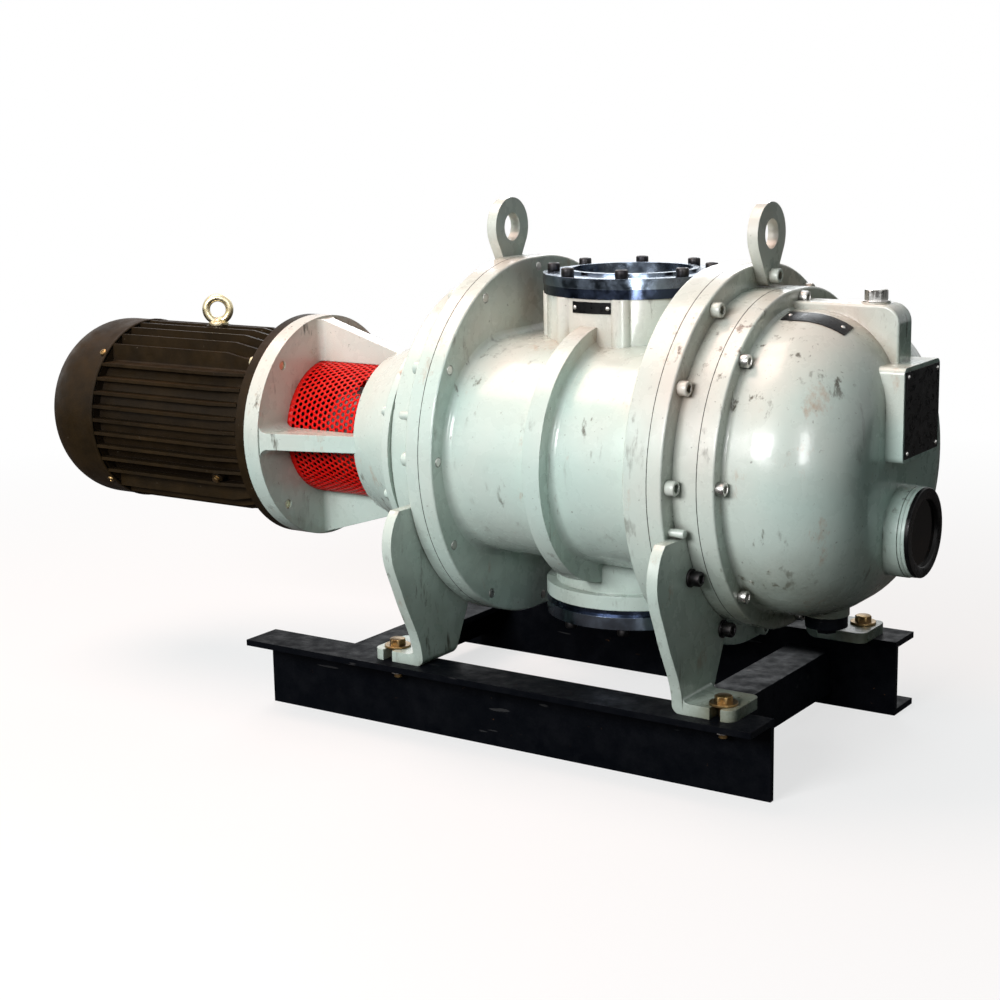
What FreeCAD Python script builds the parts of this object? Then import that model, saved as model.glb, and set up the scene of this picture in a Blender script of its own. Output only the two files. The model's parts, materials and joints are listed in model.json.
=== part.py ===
import FreeCAD, Part
import math
import os

# Mechanical vacuum booster: two two-lobed rotors turn in a stadium-shaped casing, driven by a flanged
# electric motor through a lantern with an elastic coupling, and kept in step by a pair of timing gears
# in a domed oil cover. The unit stands on four bent feet on two steel rails.
# All lengths are in millimetres. X runs along the shafts from the motor to the gear cover, Y across the
# two shafts, Z up. The pieces are made around the pump's own centre: X = 0 is the inner face of the
# casing's drive-end flange, Y = 0 lies midway between the shafts, Z = 0 is the height of the shafts.
# At the end everything moves so that the origin is the middle of the footprint on the floor.

V = FreeCAD.Vector
AXIS_X = V(1, 0, 0)
AXIS_Y = V(0, 1, 0)
AXIS_Z = V(0, 0, 1)
ORIGIN = V(0, 0, 0)

# Shafts and rotors
shaft_spacing = 160.0
shaft_y = shaft_spacing / 2
shaft_height = 370.0
rotor_gap = 0.5
rotor_end_gap = 0.3
rotor_shaft_r = 25.0
rotor_shoulder_r = 32.0
shaft_fit = 0.05
shaft_end_r = 19.0

# Casing
casing_length = 268.0
casing_wall = 18.0
casing_flange_t = 20.0
gear_flange_t = 32.0
bore_gap = 0.5
belly_rib_w = 24.0
belly_rib_h = 24.0
disc_r = 233.0
disc_offset = 15.0
disc_edge = 2.5
shaft_hole_gap = 1.0

# Ports
port_r = 76.5
neck_bore_r = 75.0
neck_r = 108.0
port_shift = 6.0
port_face_z = 194.0
port_boss_r = 14.0
port_boss_low = 118.0
port_bolt_circle_r = 100.0
port_bolt_count = 8
port_ring_r = 112.5
inlet_adaptor_t = 12.0
inlet_ring_t = 13.0
collar_r = 84.0
collar_h = 4.0
outlet_spacer_r = 106.0
outlet_spacer_t = 9.0
outlet_ring_t = 16.0
outlet_flange_t = 18.0
outlet_neck_r = 100.0

# End plates and the housings on them
drive_plate_t = 20.0
drive_housing_depth = 43.0
drive_housing_rim = 29.0
drive_housing_offset = 16.0
gear_plate_t = 19.0
gear_housing_depth = 31.0
gear_housing_rim = 27.0
gear_housing_offset = 16.0
seat_gap = 0.05
bearing_r = 55.0
bearing_w = 27.0
bearing_lip = 6.0
bearing_bore_chamfer = 1.5
seal_r = 42.0
seal_w = 10.0

# Domed gear cover
cover_flange_t = 22.0
dome_rim = 22.0
dome_offset = 18.0
dome_depth = 133.0
dome_round_r = 100.0
dome_wall = 12.0
upstand_w = 40.0
upstand_rise = 9.0
upstand_round_r = 22.0
filler_reach = 96.0
filler_pad_r = 17.0
filler_pad_h = 2.0
filler_hex = 24.0
filler_hex_h = 13.0
filler_thread_r = 11.0
filler_thread_l = 20.0
plate_pad_w = 108.0
plate_pad_low_z = 15.0
plate_pad_high_z = 126.0
plate_pad_reach = 22.0
plate_pad_round_r = 8.0
glass_z = -75.0
glass_boss_r = 55.0
glass_boss_reach = 17.0
glass_frame_r = 54.0
glass_frame_t = 14.0
glass_lens_r = 46.0
glass_lens_t = 8.0
glass_view_r = 39.0
glass_seal_t = 1.5
drain_reach = 40.0
drain_boss_r = 28.0
drain_boss_drop = 6.0
drain_cap_r = 26.0
drain_cap_t = 15.0
drain_hex = 22.0
drain_hex_h = 8.0
drain_thread_r = 12.0
drain_thread_l = 16.0

# Timing gears
gear_module = 4.0
gear_width = 35.0
gear_start_gap = 5.0
gear_backlash_angle = 0.25
gear_addendum = 0.95
gear_dedendum = 1.15
gear_pressure_angle = 20.0
gear_flank_shares = (0.0, 0.3, 0.65, 1.0)
gear_web_t = 16.0
gear_rim = 14.0
gear_hub_r = 40.0
gear_nut_r = 34.0
gear_nut_t = 12.0
slinger_wall_gap = 6.0
slinger_t = 4.0
slinger_gap = 2.0

# Motor
motor_flange_r = 150.0
motor_flange_t = 15.0
motor_spigot_r = 115.0
motor_spigot_h = 4.0
motor_spigot_gap = 1.0
motor_bolt_circle_r = 132.5
motor_body_r = 127.5
motor_core_r = 112.0
motor_bore_r = 104.0
motor_shield_depth = 28.0
motor_frame_length = 260.0
motor_rear_shield_t = 12.0
motor_fin_pitch = 19.0
motor_fin_t = 4.5
motor_fin_reach = 80.0
fin_end_slope = 45.0
fin_end_drop = 8.0
motor_shaft_r = 19.0
motor_shaft_reach = 94.0
motor_rotor_r = 68.0
motor_air_gap = 0.6
motor_stack_length = 150.0
motor_bearing_r = 40.0
motor_bearing_w = 23.0
motor_bearing_setback = 12.0
motor_shield_opening_r = 88.0
motor_tail_gap = 30.0
fan_gap = 34.0
fan_back_t = 4.0
cowl_length = 108.0
cowl_r = 128.0
cowl_sheet_t = 2.5
cowl_round_r = 75.0
cowl_slot_w = 6.0
cowl_slot_inner_r = 22.0
cowl_slot_outer_r = 46.0
cowl_slot_count = 16
fan_r = 100.0
fan_hub_r = 32.0
fan_blade_w = 34.0
fan_blade_t = 3.0
fan_blade_count = 7
fan_hub_l = 30.0
eyebolt_inset = 128.0
eyebolt_ring_axis = (0.56, -0.83, 0.0)
eyebolt_ring_r = 16.5
eyebolt_wire_r = 5.5
eyebolt_collar_r = 14.0
eyebolt_collar_h = 5.0
eyebolt_thread_r = 6.0
eyebolt_thread_l = 12.0
motor_seat_sink = 20.0
terminal_box_inset = 120.0
terminal_box_l = 120.0
terminal_box_h = 104.0
terminal_box_d = 52.0
terminal_box_round_r = 10.0
terminal_lid_t = 10.0
gland_r = 13.0
gland_l = 24.0
gland_hex = 32.0
gland_bore_r = 8.0

# Lantern between motor and pump, its guard and the coupling
lantern_flange_t = 24.0
lantern_length = 210.0
lantern_ring_r = 130.0
lantern_ring_t = 13.0
lantern_foot_r = 146.0
lantern_foot_t = 10.0
lantern_screw_circle_r = 138.0
lantern_screw_count = 8
lantern_arm_w = 22.0
lantern_arm_outer_r = 147.0
lantern_bell_reach = 85.0
lantern_bell_r = 107.0
lantern_wall = 9.0
lantern_arm_inner_r = 90.0
lantern_fillet_r = 10.0
guard_seat_gap = 0.3
guard_sheet_t = 1.5
guard_length = 150.0
coupling_r = 55.0
coupling_hub_l = 38.0
coupling_gap = 20.0
coupling_jaw_count = 3
coupling_jaw_angle = 52.0
coupling_jaw_inner_r = 22.0
coupling_play = 0.6
pump_shaft_reach = 103.0

# Lifting eyes
eye_t = 14.0
eye_hole_r = 18.0
eye_ring_r = 38.0
eye_rise = 50.0
eye_tail_r = 13.0

# Feet, rails and cross members
foot_t = 14.0
foot_bend_r = 8.0
foot_toe_l = 65.0
foot_bolt_reach = 42.0
foot_heel_inset = 18.0
foot_heel_lean = 8.0
foot_heel_rise = 40.0
foot_toe_w = 72.0
foot_bolt_inset = 22.0
foot_waist_out = 17.0
foot_waist_rise = 80.0
foot_bulge_out = 47.0
foot_bulge_rise = 152.0
foot_tip_out = 29.0
foot_tip_rise = 210.0
foot_shoulder_inset = 5.0
foot_slot_w = 14.0
rail_drop = 37.0
rail_margin = 7.0
rail_flange_w = 60.0
rail_t = 8.0
rail_motor_overhang = 280.0
rail_gear_overhang = 111.0
cross_member_w = 60.0
cross_member_t = 8.0
cross_member_drop = 22.0
cross_member_inset = 90.0

# Fasteners: head radius, head height, shank radius
m12_head = (9.0, 12.0, 6.0)
m10_head = (8.0, 10.0, 5.0)
m8_head = (6.5, 8.0, 4.0)
hole_gap = 0.15
disc_bolt_inset = 13.0
disc_bolt_offset = 13.0
disc_bolt_count = 12
cover_bolt_inset = 10.5
cover_bolt_count = 8
screw_bite = 15.0
anchor_hex = 19.0
anchor_hex_h = 8.0
anchor_nut_h = 10.5
anchor_r = 6.0
anchor_washer_r = 17.0
anchor_washer_t = 3.0
anchor_tail = 6.0
foot_washer_r = 11.0
foot_washer_t = 2.5

# Stations along the shafts, worked out from the lengths above
casing_start_x = -casing_flange_t
casing_end_x = casing_length + gear_flange_t
drive_plate_x = casing_start_x - drive_plate_t
drive_face_x = drive_plate_x - drive_housing_depth
gear_plate_x = casing_end_x + gear_plate_t
cover_x = gear_plate_x + gear_housing_depth
dome_x = cover_x + cover_flange_t
dome_end_x = dome_x + dome_depth
port_x = casing_length / 2 + port_shift
gear_start_x = cover_x + gear_start_gap
filler_x = dome_x + filler_reach
drain_x = dome_x + drain_reach
plate_pad_x = dome_end_x + plate_pad_reach
glass_boss_x = dome_end_x + glass_boss_reach
lantern_flange_x = drive_face_x - lantern_length
lantern_bell_x = drive_face_x - lantern_bell_reach
pump_shaft_end_x = drive_face_x - pump_shaft_reach
lantern_back_x = lantern_flange_x - lantern_flange_t
motor_shaft_end_x = lantern_back_x + motor_shaft_reach
motor_frame_x = lantern_back_x - motor_shield_depth - motor_flange_t
motor_frame_end_x = motor_frame_x - motor_frame_length
eyebolt_x = motor_frame_x - eyebolt_inset
terminal_box_x = motor_frame_x - terminal_box_inset
cowl_start_x = motor_frame_end_x - motor_rear_shield_t
cowl_end_x = cowl_start_x - cowl_length
glass_front_x = glass_boss_x + glass_frame_t
rail_start_x = drive_plate_x - rail_motor_overhang
rail_end_x = gear_plate_x + rail_gear_overhang

# Radii and heights that follow the discs
drive_housing_r = disc_r - drive_housing_rim
gear_housing_r = disc_r - gear_housing_rim
disc_bolt_r = disc_r - disc_bolt_inset
cover_bolt_r = gear_housing_r - cover_bolt_inset
dome_r = gear_housing_r - dome_rim
slinger_r = dome_offset + dome_r - dome_wall - shaft_y - slinger_wall_gap
upstand_top_z = dome_r + upstand_rise
drain_boss_low_z = -dome_r - drain_boss_drop
eye_center_z = disc_bolt_r + eye_rise
rail_top_z = -disc_r - rail_drop
rail_front_y = disc_r + rail_margin
foot_heel_y = rail_front_y - foot_heel_inset
foot_inner_y = foot_heel_y - foot_toe_w
foot_bolt_y = foot_heel_y - foot_bolt_inset
foot_waist_y = disc_r + foot_waist_out
foot_waist_z = rail_top_z + foot_waist_rise
foot_bulge_y = disc_r + foot_bulge_out
foot_bulge_z = rail_top_z + foot_bulge_rise
foot_tip_y = disc_r + foot_tip_out
foot_tip_z = rail_top_z + foot_tip_rise
foot_shoulder_y = disc_bolt_offset + disc_bolt_r / 2 - foot_shoulder_inset
foot_shoulder_z = -gear_housing_r

rotor_r = 0.75 * shaft_spacing - rotor_gap / 2
chamber_r = rotor_r + bore_gap
casing_r = chamber_r + casing_wall
drive_y = -shaft_y
driven_y = shaft_y
floor_z = -shaft_height
rail_web_y = rail_front_y - rail_flange_w
middle_x = (cowl_end_x + glass_front_x) / 2


def cylinder_x(x0, x1, r, y=0.0, z=0.0):
    return Part.makeCylinder(r, x1 - x0, V(x0, y, z), AXIS_X)


def cylinder_z(z0, z1, r, x=0.0, y=0.0):
    return Part.makeCylinder(r, z1 - z0, V(x, y, z0), AXIS_Z)


def cylinder_y(y0, y1, r, x=0.0, z=0.0):
    return Part.makeCylinder(r, y1 - y0, V(x, y0, z), AXIS_Y)


def box(x0, x1, y0, y1, z0, z1):
    return Part.makeBox(x1 - x0, y1 - y0, z1 - z0, V(x0, y0, z0))


def tube_x(x0, x1, outer, inner, y=0.0, z=0.0):
    return cylinder_x(x0, x1, outer, y, z).cut(cylinder_x(x0 - 1, x1 + 1, inner, y, z))


def joined(shapes):
    whole = shapes[0]
    if len(shapes) > 1:
        whole = whole.fuse(shapes[1:])
    return whole.removeSplitter()


def stadium(x0, x1, r, offset):
    # a prism along X whose section is two half circles joined by flats at top and bottom
    left = V(x0, -offset, 0)
    right = V(x0, offset, 0)
    up = V(0, 0, r)
    edges = [
        Part.Arc(left + up, left + V(0, -r, 0), left - up).toShape(),
        Part.LineSegment(left - up, right - up).toShape(),
        Part.Arc(right - up, right + V(0, r, 0), right + up).toShape(),
        Part.LineSegment(right + up, left + up).toShape(),
    ]
    return Part.Face(Part.Wire(edges)).extrude(V(x1 - x0, 0, 0))


def edges_at_x(shape, x, tolerance=0.01):
    found = []
    for edge in shape.Edges:
        if all(abs(vertex.Point.x - x) < tolerance for vertex in edge.Vertexes):
            if abs(edge.BoundBox.XLength) < tolerance:
                found.append(edge)
    return found


def stadium_disc(x0, x1, r, offset, front, back):
    # a stadium plate with its outer edges broken where asked
    plate = stadium(x0, x1, r, offset)
    edges = []
    if back:
        edges += edges_at_x(plate, x0)
    if front:
        edges += edges_at_x(plate, x1)
    return plate.makeFillet(disc_edge, edges)


def on_stadium(angle, r, offset):
    # the point at an angle on a stadium's bolt line: Y and Z
    a = math.radians(angle)
    side = math.cos(a)
    if abs(side) < 0.001:
        return (0.0, r * math.sin(a))
    return (math.copysign(offset, side) + r * side, r * math.sin(a))


def hexagon_z(across, x, y, z0, height):
    r = across / math.sqrt(3)
    points = [V(x + r * math.cos(math.radians(60 * i)), y + r * math.sin(math.radians(60 * i)), z0)
              for i in range(7)]
    return Part.Face(Part.makePolygon(points)).extrude(V(0, 0, height))


def polygon_prism(points, direction):
    return Part.Face(Part.makePolygon(points + [points[0]])).extrude(direction)


def screw_x(x, y, z, size, length, side):
    # a cylinder-head screw along X: the head stands on the plane x, on the given side of it
    head_r, head_h, shank_r = size
    head = cylinder_x(min(x, x + side * head_h), max(x, x + side * head_h), head_r, y, z)
    tip = x - side * length
    shank = cylinder_x(min(x, tip), max(x, tip), shank_r, y, z)
    return head.fuse(shank).removeSplitter()


def hole_x(x0, x1, y, z, r):
    return cylinder_x(x0, x1, r + hole_gap, y, z)


def revolve_x(points, y=0.0, z=0.0):
    # a solid of revolution about a line along X; the points are (x, radius) pairs
    outline = [V(px, y, z + pr) for px, pr in points]
    face = Part.Face(Part.makePolygon(outline + [outline[0]]))
    return face.revolve(V(0, y, z), AXIS_X, 360)


disc_angles = [360.0 / disc_bolt_count * i for i in range(disc_bolt_count)]
foot_angles = [210.0, 240.0, 300.0, 330.0]
eye_angle = 90.0
cover_angles = [360.0 / cover_bolt_count * i for i in range(cover_bolt_count)]
port_angles = [360.0 / port_bolt_count * (i + 0.5) for i in range(port_bolt_count)]


def port_bolts():
    return [(port_x + port_bolt_circle_r * math.cos(math.radians(a)),
             port_bolt_circle_r * math.sin(math.radians(a))) for a in port_angles]


def disc_holes(x0, x1):
    return [hole_x(x0, x1, *on_stadium(a, disc_bolt_r, disc_bolt_offset), m12_head[2]) for a in disc_angles]


def rotor_casing():
    body = stadium(0, casing_length, casing_r, shaft_y)
    rib = stadium(port_x - belly_rib_w / 2, port_x + belly_rib_w / 2, casing_r + belly_rib_h, shaft_y)
    drive_flange = stadium_disc(casing_start_x, 0, disc_r, disc_offset, True, False)
    gear_flange = stadium_disc(casing_length, casing_end_x, disc_r, disc_offset, False, True)
    inlet = cylinder_z(0, port_face_z, neck_r, port_x, 0)
    outlet = cylinder_z(-port_face_z, 0, outlet_neck_r, port_x, 0)
    outlet_flange = cylinder_z(-port_face_z, -port_face_z + outlet_flange_t, port_ring_r, port_x, 0)
    bosses = [cylinder_z(port_boss_low, port_face_z, port_boss_r, x, y) for x, y in port_bolts()]
    casing = joined([body, rib, drive_flange, gear_flange, inlet, outlet, outlet_flange] + bosses)
    chamber = joined([cylinder_x(casing_start_x - 1, casing_end_x + 1, chamber_r, y)
                      for y in (drive_y, driven_y)])
    tools = [cylinder_z(-port_face_z - 1, port_face_z + 1, neck_bore_r, port_x, 0)]
    tools += disc_holes(casing_start_x - 1, 1)
    tools += disc_holes(casing_length - 1, casing_end_x + 1)
    for x, y in port_bolts():
        tools.append(cylinder_z(port_face_z - screw_bite - 1, port_face_z + 1, m10_head[2] + hole_gap, x, y))
        tools.append(cylinder_z(-port_face_z - 1, -port_face_z + screw_bite + 1,
                                m10_head[2] + hole_gap, x, y))
    return casing.cut([chamber] + tools).removeSplitter()


def bearing_seats(face_x, inner_x, inward):
    # the pocket for each shaft's bearing, the seal pocket behind it and the hole between them
    tools = []
    for y in (drive_y, driven_y):
        pocket_end = face_x + inward * (bearing_w + bearing_lip)
        seal_start = pocket_end + inward * bearing_lip
        seal_end = seal_start + inward * seal_w
        tools.append(cylinder_x(min(face_x, pocket_end), max(face_x, pocket_end), bearing_r + seat_gap, y))
        tools.append(cylinder_x(min(pocket_end, seal_end), max(pocket_end, seal_end), seal_r + seat_gap, y))
        hole_end = inner_x + inward * shaft_hole_gap
        tools.append(cylinder_x(min(seal_end, hole_end), max(seal_end, hole_end),
                                rotor_shoulder_r + shaft_hole_gap, y))
    return tools


def drive_end_plate():
    plate = stadium_disc(drive_plate_x, casing_start_x, disc_r, disc_offset, False, True)
    housing = stadium_disc(drive_face_x, drive_plate_x, drive_housing_r, drive_housing_offset, False, True)
    plate = joined([plate, housing])
    tools = bearing_seats(drive_face_x, casing_start_x, 1.0)
    tools += disc_holes(drive_plate_x - 1, casing_start_x + 1)
    for y, z in lantern_screw_points():
        tools.append(hole_x(drive_face_x - 1, drive_face_x + screw_bite + 1, y, z, m8_head[2]))
    plate = plate.cut(tools)
    cap = cylinder_x(drive_face_x, drive_face_x + bearing_lip, bearing_r + shaft_hole_gap, driven_y)
    neck = tube_x(drive_face_x, drive_face_x + bearing_lip, bearing_r + shaft_hole_gap,
                  shaft_end_r + shaft_hole_gap, drive_y)
    return joined([plate, cap, neck])


def gear_end_plate():
    plate = stadium_disc(casing_end_x, gear_plate_x, disc_r, disc_offset, True, False)
    housing = stadium(gear_plate_x, cover_x, gear_housing_r, gear_housing_offset)
    plate = joined([plate, housing])
    tools = bearing_seats(cover_x, casing_end_x, -1.0)
    tools += disc_holes(casing_end_x - 1, gear_plate_x + 1)
    for a in cover_angles:
        y, z = on_stadium(a, cover_bolt_r, gear_housing_offset)
        tools.append(hole_x(cover_x - screw_bite - 1, cover_x + 1, y, z, m10_head[2]))
    return plate.cut(tools).removeSplitter()


def gear_cover():
    flange = stadium_disc(cover_x, dome_x, gear_housing_r, gear_housing_offset, True, False)
    dome = stadium(cover_x, dome_end_x, dome_r, dome_offset)
    dome = dome.makeFillet(dome_round_r, edges_at_x(dome, dome_end_x))
    upstand = box(cover_x, dome_end_x, -upstand_w / 2, upstand_w / 2, 0, upstand_top_z)
    corner = [e for e in upstand.Edges if abs(e.CenterOfMass.x - dome_end_x) < 0.01
              and abs(e.CenterOfMass.z - upstand_top_z) < 0.01]
    upstand = upstand.makeFillet(upstand_round_r, corner)
    upstand = upstand.makeFillet(3.0, [e for e in upstand.Edges if abs(e.CenterOfMass.z - upstand_top_z) < 0.01
                                       and e.BoundBox.XLength > dome_depth / 2])
    filler_pad = cylinder_z(upstand_top_z - 10, upstand_top_z + filler_pad_h, filler_pad_r, filler_x, 0)
    pad = box(dome_end_x - dome_round_r / 2, plate_pad_x, -plate_pad_w / 2, plate_pad_w / 2,
              plate_pad_low_z, plate_pad_high_z)
    pad = pad.makeFillet(plate_pad_round_r, [e for e in pad.Edges if e.BoundBox.XLength > 1])
    boss = cylinder_x(dome_end_x - dome_round_r, glass_boss_x, glass_boss_r, 0, glass_z)
    drain = cylinder_z(drain_boss_low_z, -dome_r / 2, drain_boss_r, drain_x, 0)
    cover = joined([flange, dome, upstand, filler_pad, pad, boss, drain])
    hollow = stadium(cover_x - 1, dome_end_x - dome_wall, dome_r - dome_wall, dome_offset)
    hollow = hollow.makeFillet(dome_round_r - dome_wall, edges_at_x(hollow, dome_end_x - dome_wall))
    tools = [hollow]
    tools.append(cylinder_z(upstand_top_z - filler_thread_l - 20, upstand_top_z + filler_pad_h + 1,
                            filler_thread_r + hole_gap, filler_x, 0))
    tools.append(cylinder_x(dome_x, dome_x + m10_head[1] + 2, m10_head[0] + 1, 0, cover_bolt_r))
    tools.append(cylinder_x(dome_end_x - dome_wall - 20, glass_boss_x + 1, glass_view_r, 0, glass_z))
    tools.append(cylinder_z(drain_boss_low_z - 1, -dome_r + dome_wall + 1, drain_thread_r + hole_gap,
                            drain_x, 0))
    for a in cover_angles:
        tools.append(hole_x(cover_x - 1, dome_x + 1, *on_stadium(a, cover_bolt_r, gear_housing_offset),
                            m10_head[2]))
    return cover.cut(tools).removeSplitter()


def sight_glass_frame():
    start = glass_boss_x
    ring = tube_x(start, start + glass_frame_t, glass_frame_r, glass_view_r)
    recess = cylinder_x(start - 1, start + glass_seal_t + glass_lens_t, glass_lens_r + hole_gap)
    ring = ring.cut(recess)
    ring.translate(V(0, 0, glass_z))
    return ring


def sight_glass_lens():
    start = glass_boss_x + glass_seal_t
    return cylinder_x(start, start + glass_lens_t, glass_lens_r, 0, glass_z)


def sight_glass_seal():
    return tube_x(glass_boss_x, glass_boss_x + glass_seal_t, glass_lens_r, glass_view_r, 0, glass_z)


def filler_plug():
    top = upstand_top_z + filler_pad_h
    washer = cylinder_z(top, top + 1.5, filler_pad_r - 1, filler_x, 0)
    head = hexagon_z(filler_hex, filler_x, 0, top + 1.5, filler_hex_h)
    thread = cylinder_z(top - filler_thread_l, top, filler_thread_r, filler_x, 0)
    return joined([head, washer, thread])


def oil_drain_plug():
    low = drain_boss_low_z
    cap = cylinder_z(low - drain_cap_t, low, drain_cap_r, drain_x, 0)
    head = hexagon_z(drain_hex, drain_x, 0, low - drain_cap_t - drain_hex_h, drain_hex_h)
    thread = cylinder_z(low, low + drain_thread_l, drain_thread_r, drain_x, 0)
    return joined([cap, head, thread])


def port_ring(z0, z1, outer, bolt_r):
    ring = cylinder_z(z0, z1, outer, port_x, 0)
    tools = [cylinder_z(z0 - 1, z1 + 1, port_r, port_x, 0)]
    tools += [cylinder_z(z0 - 1, z1 + 1, bolt_r, x, y) for x, y in port_bolts()]
    return ring.cut(tools)


def inlet_adaptor_ring():
    return port_ring(port_face_z, port_face_z + inlet_adaptor_t, port_ring_r - 1.0, m10_head[2] + hole_gap)


def inlet_flange_ring():
    z0 = port_face_z + inlet_adaptor_t
    z1 = z0 + inlet_ring_t
    ring = port_ring(z0, z1, port_ring_r, m10_head[2] + hole_gap)
    collar = cylinder_z(z1, z1 + collar_h, collar_r, port_x, 0)
    collar = collar.cut(cylinder_z(z1 - 1, z1 + collar_h + 1, port_r, port_x, 0))
    return joined([ring, collar])


def port_screws(head_z, length, up):
    # screws along Z on the port's bolt circle: heads on the plane head_z, pointing up or down
    head_r, head_h, shank_r = m10_head
    screws = []
    for x, y in port_bolts():
        head_end = head_z + up * head_h
        tip = head_z - up * length
        head = cylinder_z(min(head_z, head_end), max(head_z, head_end), head_r, x, y)
        shank = cylinder_z(min(head_z, tip), max(head_z, tip), shank_r, x, y)
        screws.append(head.fuse(shank).removeSplitter())
    return Part.makeCompound(screws)


def inlet_screws():
    head_z = port_face_z + inlet_adaptor_t + inlet_ring_t
    return port_screws(head_z, inlet_adaptor_t + inlet_ring_t + screw_bite, 1)


def outlet_spacer_ring():
    z1 = -port_face_z
    return port_ring(z1 - outlet_spacer_t, z1, outlet_spacer_r, m10_head[2] + hole_gap)


def outlet_flange_ring():
    z1 = -port_face_z - outlet_spacer_t
    return port_ring(z1 - outlet_ring_t, z1, port_ring_r, m10_head[2] + hole_gap)


def outlet_screws():
    head_z = -port_face_z - outlet_spacer_t - outlet_ring_t
    return port_screws(head_z, outlet_spacer_t + outlet_ring_t + screw_bite, -1)


def rotor_profile(x0, x1, turn):
    # two-lobed cycloid rotor: outside the pitch circle the flank is an epicycloid, inside it a
    # hypocycloid, both rolled by a circle a quarter of the pitch radius; the outline is set in by
    # half the running gap so that the two rotors never touch
    pitch = shaft_spacing / 2
    roll = pitch / 4
    steps = 14
    points = []
    for quarter in range(4):
        start = quarter * math.pi / 2 - math.pi / 4
        for i in range(steps):
            t = start + (math.pi / 2) * i / steps
            spin = (t - start) * pitch / roll
            outside = 1 if quarter % 2 == 0 else -1
            centre = pitch + outside * roll
            py = centre * math.cos(t) - outside * roll * math.cos(t + outside * spin)
            pz = centre * math.sin(t) - outside * roll * math.sin(t + outside * spin)
            ny = outside * (py - pitch * math.cos(t))
            nz = outside * (pz - pitch * math.sin(t))
            if i == 0:
                ny = outside * math.sin(t)
                nz = -outside * math.cos(t)
            size = math.hypot(ny, nz)
            points.append(V(x0, py - ny / size * rotor_gap / 2, pz - nz / size * rotor_gap / 2))
    half = len(points) // 2
    curves = []
    for run in (points[:half + 1], points[half:] + [points[0]]):
        curve = Part.BSplineCurve()
        curve.interpolate(run)
        curves.append(curve.toShape())
    face = Part.Face(Part.Wire(curves))
    lobes = face.extrude(V(x1 - x0, 0, 0))
    lobes.rotate(ORIGIN, AXIS_X, turn)
    return lobes


def rotor_body(y, turn, drive_end_x, gear_end_x, drive_end_r):
    lobes = rotor_profile(casing_start_x + rotor_end_gap, casing_end_x - rotor_end_gap, turn)
    seal_x0 = drive_face_x + bearing_w + 2 * bearing_lip
    seal_x1 = cover_x - bearing_w - 2 * bearing_lip
    shoulder = cylinder_x(seal_x0 + seal_w, seal_x1 - seal_w, rotor_shoulder_r)
    shaft = cylinder_x(drive_face_x + bearing_lip + 1, gear_end_x, rotor_shaft_r - shaft_fit)
    pieces = [lobes, shoulder, shaft]
    if drive_end_x < drive_face_x:
        pieces.append(cylinder_x(drive_end_x, drive_face_x + bearing_lip + 1, drive_end_r))
    body = joined(pieces)
    body.translate(V(0, y, 0))
    return body


def drive_rotor():
    return rotor_body(drive_y, 0.0, pump_shaft_end_x, gear_shaft_end_x(), shaft_end_r)


def driven_rotor():
    return rotor_body(driven_y, 90.0, drive_face_x + bearing_lip + 1, gear_shaft_end_x(), shaft_end_r)


def gear_shaft_end_x():
    return gear_start_x + gear_width + gear_nut_t + slinger_t + slinger_gap


def timing_gear(y, turn):
    # spur gear with involute flanks: the half width of a tooth at each radius follows from the base circle
    teeth = int(round(shaft_spacing / gear_module))
    pitch_r = shaft_spacing / 2
    base_r = pitch_r * math.cos(math.radians(gear_pressure_angle))
    tip_r = pitch_r + gear_addendum * gear_module
    root_r = pitch_r - gear_dedendum * gear_module
    pitch_half = math.pi / (2 * teeth) - math.radians(gear_backlash_angle) / 2

    def involute(r):
        phi = math.acos(min(1.0, base_r / r))
        return math.tan(phi) - phi

    flank = []
    for share in gear_flank_shares:
        r = root_r + (tip_r - root_r) * share
        flank.append((r, pitch_half + involute(pitch_r) - involute(r)))
    points = []
    for i in range(teeth):
        middle = math.radians(turn) + 2 * math.pi * i / teeth
        for r, half in flank:
            points.append(V(gear_start_x, y + r * math.cos(middle - half), r * math.sin(middle - half)))
        for r, half in reversed(flank):
            points.append(V(gear_start_x, y + r * math.cos(middle + half), r * math.sin(middle + half)))
    blank = polygon_prism(points, V(gear_width, 0, 0))
    inner = root_r - gear_rim
    side = (gear_width - gear_web_t) / 2
    x0 = gear_start_x
    x1 = gear_start_x + gear_width
    recesses = [tube_x(x0 - 1, x0 + side, inner, gear_hub_r, y),
                tube_x(x1 - side, x1 + 1, inner, gear_hub_r, y)]
    bore = cylinder_x(x0 - 1, x1 + 1, rotor_shaft_r, y)
    return blank.cut(recesses + [bore]).removeSplitter()


def gear_nut(y):
    x0 = gear_start_x + gear_width
    return tube_x(x0, x0 + gear_nut_t, gear_nut_r, rotor_shaft_r, y)


def oil_slinger():
    x0 = gear_start_x + gear_width + gear_nut_t
    disc = tube_x(x0, x0 + slinger_t, slinger_r, rotor_shaft_r, driven_y)
    return disc


def bearing_pair(face_x, inward):
    rings = []
    for y in (drive_y, driven_y):
        x0 = face_x + inward * bearing_lip
        x1 = x0 + inward * bearing_w
        rings.append(tube_x(min(x0, x1), max(x0, x1), bearing_r, rotor_shaft_r, y))
    return Part.makeCompound(rings)


def seal_pair(face_x, inward):
    rings = []
    for y in (drive_y, driven_y):
        x0 = face_x + inward * (bearing_w + 2 * bearing_lip)
        x1 = x0 + inward * seal_w
        rings.append(tube_x(min(x0, x1), max(x0, x1), seal_r, rotor_shaft_r, y))
    return Part.makeCompound(rings)


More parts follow.
